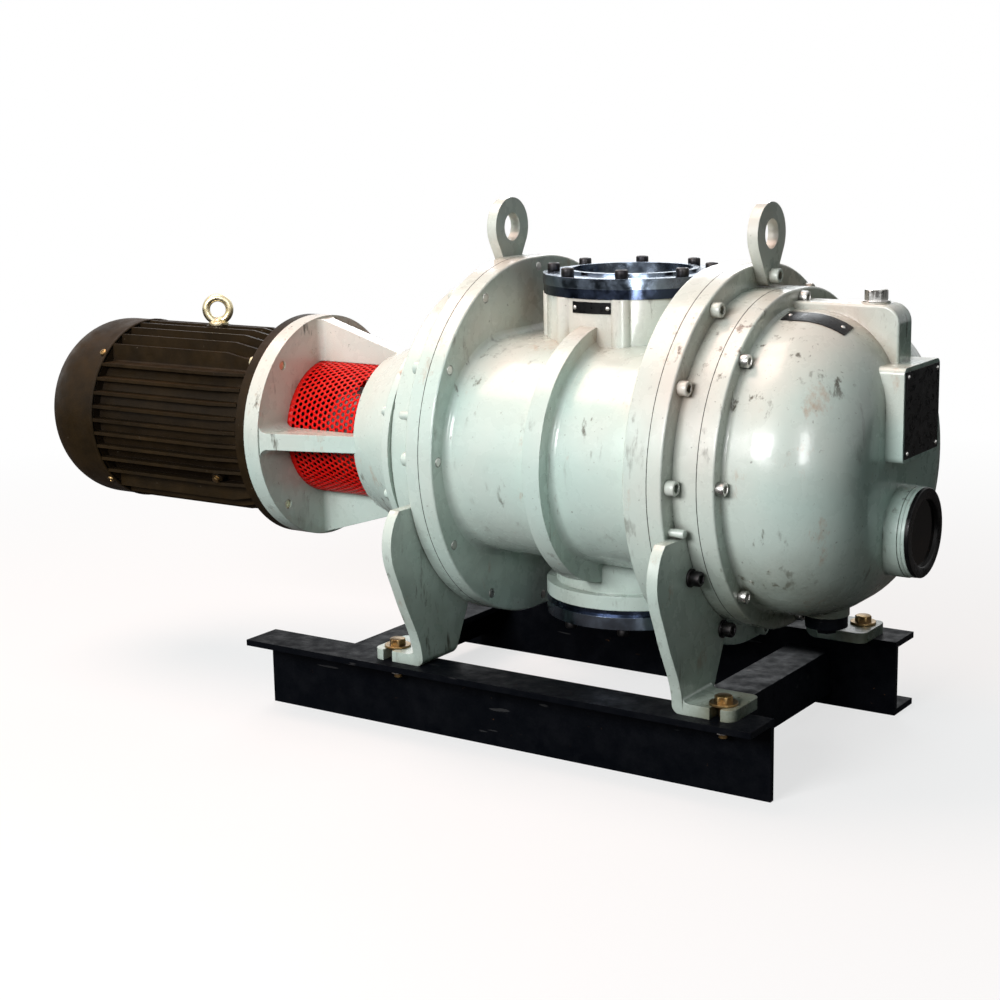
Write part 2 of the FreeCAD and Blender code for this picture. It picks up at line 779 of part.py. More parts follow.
def end_plate_screws():
    screws = []
    length_drive = drive_plate_t + casing_flange_t - 1
    length_gear = gear_plate_t + gear_flange_t - 1
    for a in disc_angles:
        if a in foot_angles or a == eye_angle:
            continue
        y, z = on_stadium(a, disc_bolt_r, disc_bolt_offset)
        screws.append(screw_x(drive_plate_x, y, z, m12_head, length_drive, -1))
        screws.append(screw_x(gear_plate_x, y, z, m12_head, length_gear, 1))
    y, z = on_stadium(eye_angle, disc_bolt_r, disc_bolt_offset)
    screws.append(screw_x(drive_plate_x - eye_t, y, z, m12_head, length_drive + eye_t, -1))
    screws.append(screw_x(gear_plate_x + eye_t, y, z, m12_head, length_gear + eye_t, 1))
    return Part.makeCompound(screws)


def foot_plate_bolts():
    bolts = []
    under = foot_t + foot_washer_t
    for a in foot_angles:
        y, z = on_stadium(a, disc_bolt_r, disc_bolt_offset)
        for x, side, length in ((drive_plate_x - under, -1, drive_plate_t + casing_flange_t - 1 + under),
                                (gear_plate_x + under, 1, gear_plate_t + gear_flange_t - 1 + under)):
            bolt = screw_x(x, y, z, m12_head, length, side)
            washer = cylinder_x(min(x, x - side * foot_washer_t), max(x, x - side * foot_washer_t),
                                foot_washer_r, y, z)
            bolts.append(bolt.fuse(washer).removeSplitter())
    return Part.makeCompound(bolts)


def gear_cover_screws():
    screws = []
    for a in cover_angles:
        y, z = on_stadium(a, cover_bolt_r, gear_housing_offset)
        screws.append(screw_x(dome_x, y, z, m10_head, cover_flange_t + screw_bite, 1))
    return Part.makeCompound(screws)


def lifting_eye(x0):
    # a flat plate: a large ring above, a small rounded tail around its screw, straight flanks between
    y, z = on_stadium(eye_angle, disc_bolt_r, disc_bolt_offset)
    rise = eye_center_z - z
    lean = math.asin((eye_ring_r - eye_tail_r) / rise)
    flank = [V(x0, eye_ring_r * math.cos(lean), eye_center_z - eye_ring_r * math.sin(lean)),
             V(x0, -eye_ring_r * math.cos(lean), eye_center_z - eye_ring_r * math.sin(lean)),
             V(x0, -eye_tail_r * math.cos(lean), z - eye_tail_r * math.sin(lean)),
             V(x0, eye_tail_r * math.cos(lean), z - eye_tail_r * math.sin(lean))]
    body = polygon_prism(flank, V(eye_t, 0, 0))
    eye = joined([body, cylinder_x(x0, x0 + eye_t, eye_ring_r, 0, eye_center_z),
                  cylinder_x(x0, x0 + eye_t, eye_tail_r, 0, z)])
    return eye.cut([cylinder_x(x0 - 1, x0 + eye_t + 1, eye_hole_r, 0, eye_center_z),
                    hole_x(x0 - 1, x0 + eye_t + 1, y, z, m12_head[2])])


def foot(plate_x, side, across):
    # a bent plate foot: upright plate against the end plate, toe turned outwards along X.
    # plate_x is the end plate's face, side the way the toe points, across +1 or -1 for the Y side
    def p(y, z):
        return V(0, y, z)
    heel = p(foot_heel_y, rail_top_z)
    waist = p(foot_waist_y, foot_waist_z)
    bulge = p(foot_bulge_y, foot_bulge_z)
    tip = p(foot_tip_y, foot_tip_z)
    clear_r = gear_housing_r + 1.0
    inner_top = p(gear_housing_offset + math.sqrt(clear_r ** 2 - foot_tip_z ** 2), foot_tip_z)
    reach = foot_shoulder_z
    shoulder_angle = math.atan2(foot_shoulder_z + 14.0, foot_shoulder_y - gear_housing_offset)
    inner_low = p(gear_housing_offset + clear_r * math.cos(shoulder_angle),
                  clear_r * math.sin(shoulder_angle))
    middle_angle = (math.asin(foot_tip_z / clear_r) + shoulder_angle) / 2
    inner_mid = p(gear_housing_offset + clear_r * math.cos(middle_angle), clear_r * math.sin(middle_angle))
    shoulder = p(foot_shoulder_y, reach)
    inner_heel = p(foot_inner_y, rail_top_z)
    outer = Part.BSplineCurve()
    outer.interpolate([p(foot_heel_y, rail_top_z),
                       p(foot_heel_y + foot_heel_lean, rail_top_z + foot_heel_rise), waist,
                       p(foot_waist_y + 17, foot_waist_z + 38), bulge,
                       p(foot_bulge_y - 2, foot_bulge_z + 34), tip])
    edges = [
        outer.toShape(),
        Part.LineSegment(tip, inner_top).toShape(),
        Part.Arc(inner_top, inner_mid, inner_low).toShape(),
        Part.LineSegment(inner_low, shoulder).toShape(),
        Part.LineSegment(shoulder, inner_heel).toShape(),
        Part.LineSegment(inner_heel, heel).toShape(),
    ]
    upright = Part.Face(Part.Wire(edges)).extrude(V(foot_t, 0, 0))
    toe = box(0, foot_t + foot_toe_l, foot_inner_y, foot_heel_y, rail_top_z, rail_top_z + foot_t)
    slot_x = foot_t + foot_bolt_reach
    slot = box(slot_x - foot_slot_w / 2, slot_x + foot_slot_w / 2, foot_bolt_y, foot_heel_y + 1,
               rail_top_z - 1, rail_top_z + foot_t + 1)
    slot = slot.fuse(cylinder_z(rail_top_z - 1, rail_top_z + foot_t + 1, foot_slot_w / 2, slot_x, foot_bolt_y))
    ends = [e for e in toe.Edges if abs(e.CenterOfMass.x - foot_t - foot_toe_l) < 0.01
            and e.BoundBox.ZLength > foot_t / 2]
    toe = toe.makeFillet(12.0, ends)
    piece = joined([upright, toe])
    bend = [e for e in piece.Edges if abs(e.CenterOfMass.z - rail_top_z - foot_t) < 0.01
            and abs(e.CenterOfMass.x - foot_t) < 0.01 and e.BoundBox.YLength > 20]
    if bend:
        piece = piece.makeFillet(foot_bend_r, bend)
    heel_edge = [e for e in piece.Edges if abs(e.CenterOfMass.z - rail_top_z) < 0.01
                 and abs(e.CenterOfMass.x) < 0.01 and e.BoundBox.YLength > 20]
    piece = piece.makeFillet(foot_bend_r + 2, heel_edge)
    holes = []
    for a in (330.0, 300.0):
        y, z = on_stadium(a, disc_bolt_r, disc_bolt_offset)
        holes.append(hole_x(-1, foot_t + 1, y, z, m12_head[2]))
    piece = piece.cut([slot] + holes)
    if side < 0:
        piece = piece.mirror(ORIGIN, AXIS_X)
    if across < 0:
        piece = piece.mirror(ORIGIN, AXIS_Y)
    piece.translate(V(plate_x, 0, 0))
    return piece


def anchor_points():
    points = []
    for plate_x, side in ((drive_plate_x, -1), (gear_plate_x, 1)):
        for across in (-1, 1):
            points.append((plate_x + side * (foot_t + foot_bolt_reach), across * foot_bolt_y))
    return points


def foot_anchor_bolts():
    bolts = []
    top = rail_top_z + foot_t + anchor_washer_t
    low = rail_top_z - rail_t - anchor_washer_t - anchor_nut_h - anchor_tail
    for x, y in anchor_points():
        bolt = hexagon_z(anchor_hex, x, y, top, anchor_hex_h)
        bolts.append(bolt.fuse(cylinder_z(low, top, anchor_r, x, y)).removeSplitter())
    return Part.makeCompound(bolts)


def foot_anchor_washers():
    rings = []
    for x, y in anchor_points():
        for z0 in (rail_top_z + foot_t, rail_top_z - rail_t - anchor_washer_t):
            outer = anchor_washer_r
            if z0 < rail_top_z:
                outer = anchor_hex / 2 + 1.5
            ring = cylinder_z(z0, z0 + anchor_washer_t, outer, x, y)
            rings.append(ring.cut(cylinder_z(z0 - 1, z0 + anchor_washer_t + 1, anchor_r + hole_gap, x, y)))
    return Part.makeCompound(rings)


def foot_anchor_nuts():
    nuts = []
    z1 = rail_top_z - rail_t - anchor_washer_t
    for x, y in anchor_points():
        nut = hexagon_z(anchor_hex, x, y, z1 - anchor_nut_h, anchor_nut_h)
        nuts.append(nut.cut(cylinder_z(z1 - anchor_nut_h - 1, z1 + 1, anchor_r + hole_gap, x, y)))
    return Part.makeCompound(nuts)


def rail(across, lower_flange):
    x0 = rail_start_x
    x1 = rail_end_x
    outline = [(rail_web_y, floor_z), (rail_web_y, rail_top_z), (rail_front_y, rail_top_z),
               (rail_front_y, rail_top_z - rail_t), (rail_web_y + rail_t, rail_top_z - rail_t)]
    if lower_flange:
        outline += [(rail_web_y + rail_t, floor_z + rail_t), (rail_front_y, floor_z + rail_t),
                    (rail_front_y, floor_z)]
    else:
        outline += [(rail_web_y + rail_t, floor_z)]
    piece = polygon_prism([V(x0, across * y, z) for y, z in outline], V(x1 - x0, 0, 0))
    holes = [cylinder_z(rail_top_z - rail_t - 1, rail_top_z + 1, anchor_r + 1, x, y)
             for x, y in anchor_points() if y * across > 0]
    return piece.cut(holes)


def cross_members():
    bars = []
    y = rail_web_y
    z1 = rail_top_z - cross_member_drop
    z0 = z1 - cross_member_w
    ends = (rail_start_x + cross_member_inset, rail_end_x - cross_member_inset)
    for x, side in zip(ends, (1, -1)):
        outline = [(0, z0), (0, z1), (side * cross_member_w, z1), (side * cross_member_w, z1 - cross_member_t),
                   (side * cross_member_t, z1 - cross_member_t), (side * cross_member_t, z0)]
        bars.append(polygon_prism([V(x + dx, -y, z) for dx, z in outline], V(0, 2 * y, 0)))
    return Part.makeCompound(bars)


def lantern_screw_points():
    points = []
    for i in range(lantern_screw_count):
        a = math.radians(360.0 / lantern_screw_count * (i + 0.5))
        points.append((drive_y + lantern_screw_circle_r * math.cos(a), lantern_screw_circle_r * math.sin(a)))
    return points


def motor_bolt_points():
    return [(drive_y + motor_bolt_circle_r * math.cos(math.radians(45 + 90 * i)),
             motor_bolt_circle_r * math.sin(math.radians(45 + 90 * i))) for i in range(4)]


def coupling_lantern():
    x_flange = lantern_flange_x
    x_foot = drive_face_x
    x_ring = x_foot - lantern_foot_t
    x_cone = x_ring - lantern_ring_t
    flange = tube_x(lantern_back_x, x_flange, motor_flange_r, lantern_arm_inner_r, drive_y)
    spigot_seat = cylinder_x(lantern_back_x - 1, lantern_back_x + motor_spigot_h + motor_spigot_gap,
                             motor_spigot_r + seat_gap, drive_y)
    flange = flange.cut(spigot_seat)
    bell = revolve_x([(lantern_bell_x, lantern_bell_r), (x_cone, lantern_ring_r), (x_ring, lantern_ring_r),
                      (x_ring, lantern_foot_r), (x_foot, lantern_foot_r),
                      (x_foot, lantern_ring_r - lantern_wall), (x_cone, lantern_ring_r - lantern_wall),
                      (lantern_bell_x, lantern_bell_r - lantern_wall)], drive_y)
    arms = []
    for turn in range(4):
        outline = [(x_flange - 1, lantern_arm_inner_r), (x_flange - 1, lantern_arm_outer_r),
                   (x_flange, lantern_arm_outer_r), (lantern_bell_x + 4, lantern_bell_r + 1.0),
                   (lantern_bell_x + 4, lantern_arm_inner_r)]
        arm = polygon_prism([V(x, -lantern_arm_w / 2, r) for x, r in outline], V(0, lantern_arm_w, 0))
        arm.rotate(ORIGIN, AXIS_X, 90 * turn)
        arm.translate(V(0, drive_y, 0))
        arms.append(arm)
    lantern = joined([flange, bell] + arms)
    roots = [e for e in lantern.Edges if abs(e.CenterOfMass.x - x_flange) < 0.01
             and e.BoundBox.XLength < 0.01 and isinstance(e.Curve, Part.Line) and e.Length > 15
             and abs(e.Length - lantern_arm_w) > 1.5]
    if roots:
        lantern = lantern.makeFillet(lantern_fillet_r, roots)
    tools = [hole_x(lantern_back_x - 1, x_flange + 1, y, z, m12_head[2]) for y, z in motor_bolt_points()]
    tools += [hole_x(x_ring - 1, x_foot + 1, y, z, m8_head[2]) for y, z in lantern_screw_points()]
    return lantern.cut(tools).removeSplitter()


def lantern_screws():
    x = drive_face_x - lantern_foot_t
    return Part.makeCompound([screw_x(x, y, z, m8_head, lantern_foot_t + screw_bite, -1)
                              for y, z in lantern_screw_points()])


def coupling_guard():
    outer = lantern_arm_inner_r - guard_seat_gap
    return tube_x(lantern_flange_x - 8, lantern_flange_x - 8 + guard_length,
                  outer, outer - guard_sheet_t, drive_y)


def coupling_hub(x_face, side, turn):
    # a hub with jaws: x_face is the plane the jaws start from, side the way they point
    x_back = x_face - side * coupling_hub_l
    hub = cylinder_x(min(x_face, x_back), max(x_face, x_back), coupling_r, drive_y)
    jaws = []
    x_tip = x_face + side * (coupling_gap - coupling_play)
    for i in range(coupling_jaw_count):
        a0 = turn + 360.0 / coupling_jaw_count * i - coupling_jaw_angle / 2
        ring = Part.makeCylinder(coupling_r, abs(x_tip - x_face), V(min(x_face, x_tip), 0, 0), AXIS_X,
                                 coupling_jaw_angle)
        ring = ring.cut(cylinder_x(min(x_face, x_tip) - 1, max(x_face, x_tip) + 1, coupling_jaw_inner_r))
        ring.rotate(ORIGIN, AXIS_X, a0)
        ring.translate(V(0, drive_y, 0))
        jaws.append(ring)
    return joined([hub] + jaws)


def coupling_middle_x():
    return (pump_shaft_end_x + motor_shaft_end_x) / 2


def motor_coupling_hub():
    x_face = coupling_middle_x() - coupling_gap / 2
    hub = coupling_hub(x_face, 1, 0.0)
    return hub.cut(cylinder_x(x_face - coupling_hub_l - 1, motor_shaft_end_x,
                              motor_shaft_r + shaft_fit, drive_y))


def pump_coupling_hub():
    x_face = coupling_middle_x() + coupling_gap / 2
    hub = coupling_hub(x_face, -1, 180.0 / coupling_jaw_count)
    return hub.cut(cylinder_x(pump_shaft_end_x, x_face + coupling_hub_l + 1, shaft_end_r + shaft_fit, drive_y))


def coupling_spider():
    # elastic star: one tooth in each gap between neighbouring jaws, joined by a ring in the middle
    x0 = coupling_middle_x() - coupling_gap / 2 + coupling_play
    x1 = coupling_middle_x() + coupling_gap / 2 - coupling_play
    gaps = 2 * coupling_jaw_count
    tooth_angle = 360.0 / gaps - coupling_jaw_angle - 1.0
    ring = cylinder_x(x0, x1, coupling_jaw_inner_r - coupling_play, drive_y)
    teeth = []
    for i in range(gaps):
        middle = 360.0 / gaps * (i + 0.5)
        tooth = Part.makeCylinder(coupling_r - 1.0, x1 - x0, V(x0, 0, 0), AXIS_X, tooth_angle)
        tooth.rotate(ORIGIN, AXIS_X, middle - tooth_angle / 2)
        tooth.translate(V(0, drive_y, 0))
        teeth.append(tooth)
    return joined([ring] + teeth)


def motor_flange_shield():
    x1 = lantern_back_x
    x0 = x1 - motor_flange_t
    flange = cylinder_x(x0, x1, motor_flange_r, drive_y)
    spigot = cylinder_x(x1, x1 + motor_spigot_h, motor_spigot_r, drive_y)
    bell = revolve_x([(motor_frame_x, 0), (motor_frame_x, motor_core_r - 2), (x0 - 18, motor_core_r - 2),
                      (x0, motor_core_r + 10), (x0, 0)], drive_y)
    shield = joined([flange, spigot, bell])
    bearing_x = x1 - motor_bearing_setback
    tools = [cylinder_x(motor_frame_x - 1, bearing_x, motor_bearing_r + seat_gap, drive_y),
             cylinder_x(motor_frame_x - 1, bearing_x - motor_bearing_w - 8, motor_shield_opening_r, drive_y),
             cylinder_x(bearing_x - 1, x1 + motor_spigot_h + 1, motor_shaft_r + 1.0, drive_y)]
    tools += [hole_x(x0 - 1, x1 + 1, y, z, m12_head[2]) for y, z in motor_bolt_points()]
    return shield.cut(tools).removeSplitter()


def motor_frame():
    x0 = motor_frame_end_x
    x1 = motor_frame_x
    core = cylinder_x(x0, x1, motor_core_r, drive_y)
    fins = []
    count = int(motor_fin_reach // motor_fin_pitch)
    for i in range(-count, count + 1):
        offset = i * motor_fin_pitch
        tip = math.sqrt(motor_body_r ** 2 - offset ** 2)
        root = math.sqrt(motor_core_r ** 2 - offset ** 2) - 4
        outline = [(x0, root), (x0, tip), (x1 - fin_end_slope, tip), (x1, tip - fin_end_drop), (x1, root)]
        for turn in range(4):
            fin = polygon_prism([V(x, offset - motor_fin_t / 2, r) for x, r in outline], V(0, motor_fin_t, 0))
            fin.rotate(ORIGIN, AXIS_X, 90 * turn)
            fin.translate(V(0, drive_y, 0))
            fins.append(fin)
    seat = box(terminal_box_x - terminal_box_l / 2, terminal_box_x + terminal_box_l / 2,
               drive_y + motor_core_r - motor_seat_sink, drive_y + motor_body_r,
               -terminal_box_h / 2, terminal_box_h / 2)
    eye_pad = cylinder_z(motor_core_r - motor_seat_sink, motor_body_r, eyebolt_collar_r + 3,
                         eyebolt_x, drive_y)
    frame = joined([core] + fins + [seat, eye_pad])
    tools = [cylinder_x(x0 - 1, x1 + 1, motor_bore_r, drive_y),
             cylinder_z(motor_body_r - eyebolt_thread_l - 1, motor_body_r + 1, eyebolt_thread_r + hole_gap,
                        eyebolt_x, drive_y)]
    return frame.cut(tools).removeSplitter()


def motor_rear_shield():
    x1 = motor_frame_end_x
    x0 = x1 - motor_rear_shield_t
    plate = cylinder_x(x0, x1, motor_body_r - cowl_sheet_t - 1, drive_y)
    hub = cylinder_x(x1, x1 + motor_bearing_w - 4, motor_bearing_r + 8, drive_y)
    shield = joined([plate, hub])
    tools = [cylinder_x(x0 + 4, x1 + motor_bearing_w, motor_bearing_r + seat_gap, drive_y),
             cylinder_x(x0 - 1, x1, motor_shaft_r + 1.0, drive_y)]
    return shield.cut(tools).removeSplitter()


def motor_fan_cowl():
    x1 = cowl_start_x + motor_rear_shield_t
    outer = cylinder_x(cowl_end_x, x1, cowl_r, drive_y)
    outer = outer.makeFillet(cowl_round_r, edges_at_x(outer, cowl_end_x))
    inner = cylinder_x(cowl_end_x + cowl_sheet_t, x1 + 1, cowl_r - cowl_sheet_t, drive_y)
    inner = inner.makeFillet(cowl_round_r - cowl_sheet_t, edges_at_x(inner, cowl_end_x + cowl_sheet_t))
    slots = []
    for i in range(cowl_slot_count):
        slot = box(cowl_end_x - 1, cowl_end_x + cowl_sheet_t + 1, cowl_slot_inner_r, cowl_slot_outer_r,
                   -cowl_slot_w / 2, cowl_slot_w / 2)
        slot.rotate(ORIGIN, AXIS_X, 360.0 / cowl_slot_count * i)
        slot.translate(V(0, drive_y, 0))
        slots.append(slot)
    return outer.cut([inner] + slots)


def motor_stator():
    middle = (motor_frame_x + motor_frame_end_x) / 2
    return tube_x(middle - motor_stack_length / 2, middle + motor_stack_length / 2, motor_bore_r - 0.02,
                  motor_rotor_r + motor_air_gap, drive_y)


def motor_bearings():
    front_x = lantern_back_x - motor_bearing_setback
    rear_x = motor_frame_end_x - motor_rear_shield_t + 4
    front = tube_x(front_x - motor_bearing_w, front_x, motor_bearing_r, motor_shaft_r, drive_y)
    rear = tube_x(rear_x, rear_x + motor_bearing_w, motor_bearing_r, motor_shaft_r, drive_y)
    return Part.makeCompound([front, rear])


def motor_rotor():
    middle = (motor_frame_x + motor_frame_end_x) / 2
    core = cylinder_x(middle - motor_stack_length / 2, middle + motor_stack_length / 2, motor_rotor_r, drive_y)
    fan_end = cowl_end_x + motor_tail_gap
    shaft = cylinder_x(fan_end, motor_shaft_end_x, motor_shaft_r - shaft_fit, drive_y)
    return joined([core, shaft])


def motor_fan():
    x0 = cowl_end_x + fan_gap
    hub = cylinder_x(x0, x0 + fan_hub_l, fan_hub_r, drive_y)
    back = cylinder_x(x0 + fan_hub_l, x0 + fan_hub_l + fan_back_t, fan_r, drive_y)
    blades = []
    for i in range(fan_blade_count):
        blade = box(x0 + fan_hub_l - fan_blade_w + 14, x0 + fan_hub_l + 2, fan_hub_r - 4, fan_r - 2,
                    -fan_blade_t / 2, fan_blade_t / 2)
        blade.rotate(ORIGIN, AXIS_X, 360.0 / fan_blade_count * i)
        blade.translate(V(0, drive_y, 0))
        blades.append(blade)
    fan = joined([hub, back] + blades)
    return fan.cut(cylinder_x(x0 - 1, x0 + fan_hub_l + 6, motor_shaft_r, drive_y))


def motor_eyebolt():
    z0 = motor_body_r
    collar = cylinder_z(z0, z0 + eyebolt_collar_h, eyebolt_collar_r, eyebolt_x, drive_y)
    thread = cylinder_z(z0 - eyebolt_thread_l, z0, eyebolt_thread_r, eyebolt_x, drive_y)
    ring_z = z0 + eyebolt_ring_r + eyebolt_wire_r
    ring = Part.makeTorus(eyebolt_ring_r, eyebolt_wire_r, V(eyebolt_x, drive_y, ring_z),
                          V(*eyebolt_ring_axis))
    return joined([collar, thread, ring])


def motor_terminal_box():
    y0 = drive_y + motor_body_r
    body = box(terminal_box_x - terminal_box_l / 2, terminal_box_x + terminal_box_l / 2, y0, y0 + terminal_box_d,
               -terminal_box_h / 2, terminal_box_h / 2)
    body = body.makeFillet(terminal_box_round_r, [e for e in body.Edges if e.BoundBox.YLength > 1])
    wall = 5.0
    hollow = box(terminal_box_x - terminal_box_l / 2 + wall, terminal_box_x + terminal_box_l / 2 - wall,
                 y0 + wall, y0 + terminal_box_d + 1, -terminal_box_h / 2 + wall, terminal_box_h / 2 - wall)
    gland_y = y0 + terminal_box_d / 2
    entry = cylinder_z(-terminal_box_h / 2 - 1, -terminal_box_h / 2 + wall + 1, gland_r + hole_gap,
                       terminal_box_x, gland_y)
    return body.cut([hollow, entry])


def motor_terminal_lid():
    y0 = drive_y + motor_body_r + terminal_box_d
    lid = box(terminal_box_x - terminal_box_l / 2 - 2, terminal_box_x + terminal_box_l / 2 + 2, y0,
              y0 + terminal_lid_t, -terminal_box_h / 2 - 2, terminal_box_h / 2 + 2)
    lid = lid.makeFillet(terminal_box_round_r + 2, [e for e in lid.Edges if e.BoundBox.YLength > 1])
    return lid.makeFillet(3.0, [e for e in lid.Edges if abs(e.CenterOfMass.y - y0 - terminal_lid_t) < 0.01])


def motor_cable_gland():
    y = drive_y + motor_body_r + terminal_box_d / 2
    z1 = -terminal_box_h / 2
    body = cylinder_z(z1 - gland_l, z1 + 6, gland_r, terminal_box_x, y)
    nut = hexagon_z(gland_hex, terminal_box_x, y, z1 - gland_l + 8, gland_l - 8)
    return joined([body, nut]).cut(cylinder_z(z1 - gland_l - 1, z1 + 7, gland_bore_r, terminal_box_x, y))


def motor_flange_bolts():
    x = lantern_back_x - motor_flange_t
    length = motor_flange_t + lantern_flange_t - 2
    bolts = [screw_x(x, y, z, m12_head, length, -1) for y, z in motor_bolt_points()]
    return Part.makeCompound(bolts)


nodes = {
    "rotor_casing": rotor_casing(),
    "drive_end_plate": drive_end_plate(),
    "gear_end_plate": gear_end_plate(),
    "gear_cover": gear_cover(),
    "sight_glass_frame": sight_glass_frame(),
    "sight_glass_lens": sight_glass_lens(),
    "sight_glass_seal": sight_glass_seal(),
    "filler_plug": filler_plug(),
    "oil_drain_plug": oil_drain_plug(),
    "inlet_adaptor_ring": inlet_adaptor_ring(),
    "inlet_flange_ring": inlet_flange_ring(),
    "inlet_screws": inlet_screws(),
    "outlet_spacer_ring": outlet_spacer_ring(),
    "outlet_flange_ring": outlet_flange_ring(),
    "outlet_screws": outlet_screws(),
    "drive_rotor": drive_rotor(),
    "driven_rotor": driven_rotor(),
    "drive_timing_gear": timing_gear(drive_y, 0.0),
    "driven_timing_gear": timing_gear(driven_y, 4.5),
    "drive_gear_nut": gear_nut(drive_y),
    "driven_gear_nut": gear_nut(driven_y),
    "oil_slinger": oil_slinger(),
    "drive_end_bearings": bearing_pair(drive_face_x, 1.0),
    "gear_end_bearings": bearing_pair(cover_x, -1.0),
    "drive_end_shaft_seals": seal_pair(drive_face_x, 1.0),
    "gear_end_shaft_seals": seal_pair(cover_x, -1.0),
    "end_plate_screws": end_plate_screws(),
    "gear_cover_screws": gear_cover_screws(),
    "drive_end_lifting_eye": lifting_eye(drive_plate_x - eye_t),
    "gear_end_lifting_eye": lifting_eye(gear_plate_x),
    "drive_end_front_foot": foot(drive_plate_x, -1, -1),
    "drive_end_rear_foot": foot(drive_plate_x, -1, 1),
    "gear_end_front_foot": foot(gear_plate_x, 1, -1),
    "gear_end_rear_foot": foot(gear_plate_x, 1, 1),
    "foot_plate_bolts": foot_plate_bolts(),
    "foot_anchor_bolts": foot_anchor_bolts(),
    "foot_anchor_washers": foot_anchor_washers(),
    "foot_anchor_nuts": foot_anchor_nuts(),
    "front_rail": rail(-1, False),
    "rear_rail": rail(1, True),
    "cross_members": cross_members(),
    "coupling_lantern": coupling_lantern(),
    "lantern_screws": lantern_screws(),
    "coupling_guard": coupling_guard(),
    "motor_coupling_hub": motor_coupling_hub(),
    "pump_coupling_hub": pump_coupling_hub(),
    "coupling_spider": coupling_spider(),
    "motor_flange_shield": motor_flange_shield(),
    "motor_frame": motor_frame(),
    "motor_rear_shield": motor_rear_shield(),
    "motor_fan_cowl": motor_fan_cowl(),
    "motor_stator": motor_stator(),
    "motor_bearings": motor_bearings(),
    "motor_rotor": motor_rotor(),
    "motor_fan": motor_fan(),
    "motor_eyebolt": motor_eyebolt(),
    "motor_terminal_box": motor_terminal_box(),
    "motor_terminal_lid": motor_terminal_lid(),
    "motor_cable_gland": motor_cable_gland(),
    "motor_flange_bolts": motor_flange_bolts(),
}

os.makedirs("parts", exist_ok=True)
for name, shape in nodes.items():
    shape.translate(V(-middle_x, 0, shaft_height))
    shape.exportStep("parts/" + name + ".step")
    extent = shape.BoundBox
    print(name, "solids", len(shape.Solids), "valid", shape.isValid(),
          [round(v, 1) for v in (extent.XMin, extent.XMax, extent.YMin, extent.YMax,
                                 extent.ZMin, extent.ZMax)])
print("nodes", len(nodes), "middle", middle_x)
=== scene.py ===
# %% [markdown]
# # A mechanical vacuum booster
# The machine is a positive displacement pump: an electric motor drives two figure-of-eight rotors through
# a guarded coupling. Its solids come from a construction program and are loaded here as a fixed frame.
# This lesson dresses that frame: it paints the castings, cuts the fine details and lights the machine.

# %% Open the frame and measure it
import bpy
import bmesh
import json
import math
from mathutils import Matrix, Vector


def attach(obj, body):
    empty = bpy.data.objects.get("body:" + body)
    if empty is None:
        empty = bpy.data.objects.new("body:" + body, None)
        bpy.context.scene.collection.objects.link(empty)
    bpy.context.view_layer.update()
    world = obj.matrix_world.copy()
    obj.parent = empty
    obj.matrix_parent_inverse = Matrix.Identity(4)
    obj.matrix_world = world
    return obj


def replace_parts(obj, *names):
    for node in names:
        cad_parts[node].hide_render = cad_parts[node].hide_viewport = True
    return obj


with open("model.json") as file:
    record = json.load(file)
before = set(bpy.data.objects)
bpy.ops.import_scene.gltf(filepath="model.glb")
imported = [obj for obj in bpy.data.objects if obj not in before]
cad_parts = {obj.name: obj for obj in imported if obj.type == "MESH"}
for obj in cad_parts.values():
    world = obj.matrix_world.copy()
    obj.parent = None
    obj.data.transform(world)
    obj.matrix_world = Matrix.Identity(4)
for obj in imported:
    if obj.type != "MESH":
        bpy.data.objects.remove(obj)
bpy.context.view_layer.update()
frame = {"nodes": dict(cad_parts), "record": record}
nodes = frame["nodes"]

# %% [markdown]
# ## Where things are
# The builder of a pump measures from the pump's own middle: along the shafts from the casing flange, across
# from the line between the two shafts, and up from the shafts. `at` turns such millimetres into the metres
# of the frame, so every piece below can be placed with the numbers of the machine. The drive shaft, with
# the coupling and the motor on it, is the nearer one of the two.

# %% From the machine's millimetres to the frame's metres
ALONG = 102.0
SHAFT_HEIGHT = 370.0
DRIVE_Y = -80.0
MM = 0.001


def at(along, across, up):
    return Vector(((along + ALONG) * MM, across * MM, (up + SHAFT_HEIGHT) * MM))


print("middle of the casing flange:", at(0, 0, 0))

# %% [markdown]
# ## The camera
# The view is a three-quarter one, from the gear end and a little above the shafts. The lens and the place
# come from a fit to the round flanges, whose ellipses fix the direction of view. A roll of about one
# degree is kept, since the machine leans by that much in the picture.

# %% Place the camera
YAW = math.radians(34.1)
PITCH = math.radians(12.0)
ROLL = math.radians(-1.1)
FOCAL_PIXELS = 1917.2
PICTURE = 1000
SENSOR = 36.0
STANDPOINT = at(1353.6, -2099.1, 441.4)

level = Vector((math.cos(YAW), math.sin(YAW), 0))
ahead = Vector((-math.sin(YAW), math.cos(YAW), 0))
forward = ahead * math.cos(PITCH) - Vector((0, 0, math.sin(PITCH)))
above = level.cross(forward)
right = level * math.cos(ROLL) + above * math.sin(ROLL)
up = right.cross(forward)
camera = bpy.data.objects.new("camera", bpy.data.cameras.new("camera"))
bpy.context.scene.collection.objects.link(camera)
turn = Matrix((right, up, -forward)).transposed().to_4x4()
camera.matrix_world = Matrix.Translation(STANDPOINT) @ turn
camera.data.sensor_fit = "HORIZONTAL"
camera.data.sensor_width = SENSOR
camera.data.lens = SENSOR * FOCAL_PIXELS / PICTURE
camera.data.clip_end = 50
bpy.context.scene.camera = camera
print("lens:", round(camera.data.lens, 1), "mm")

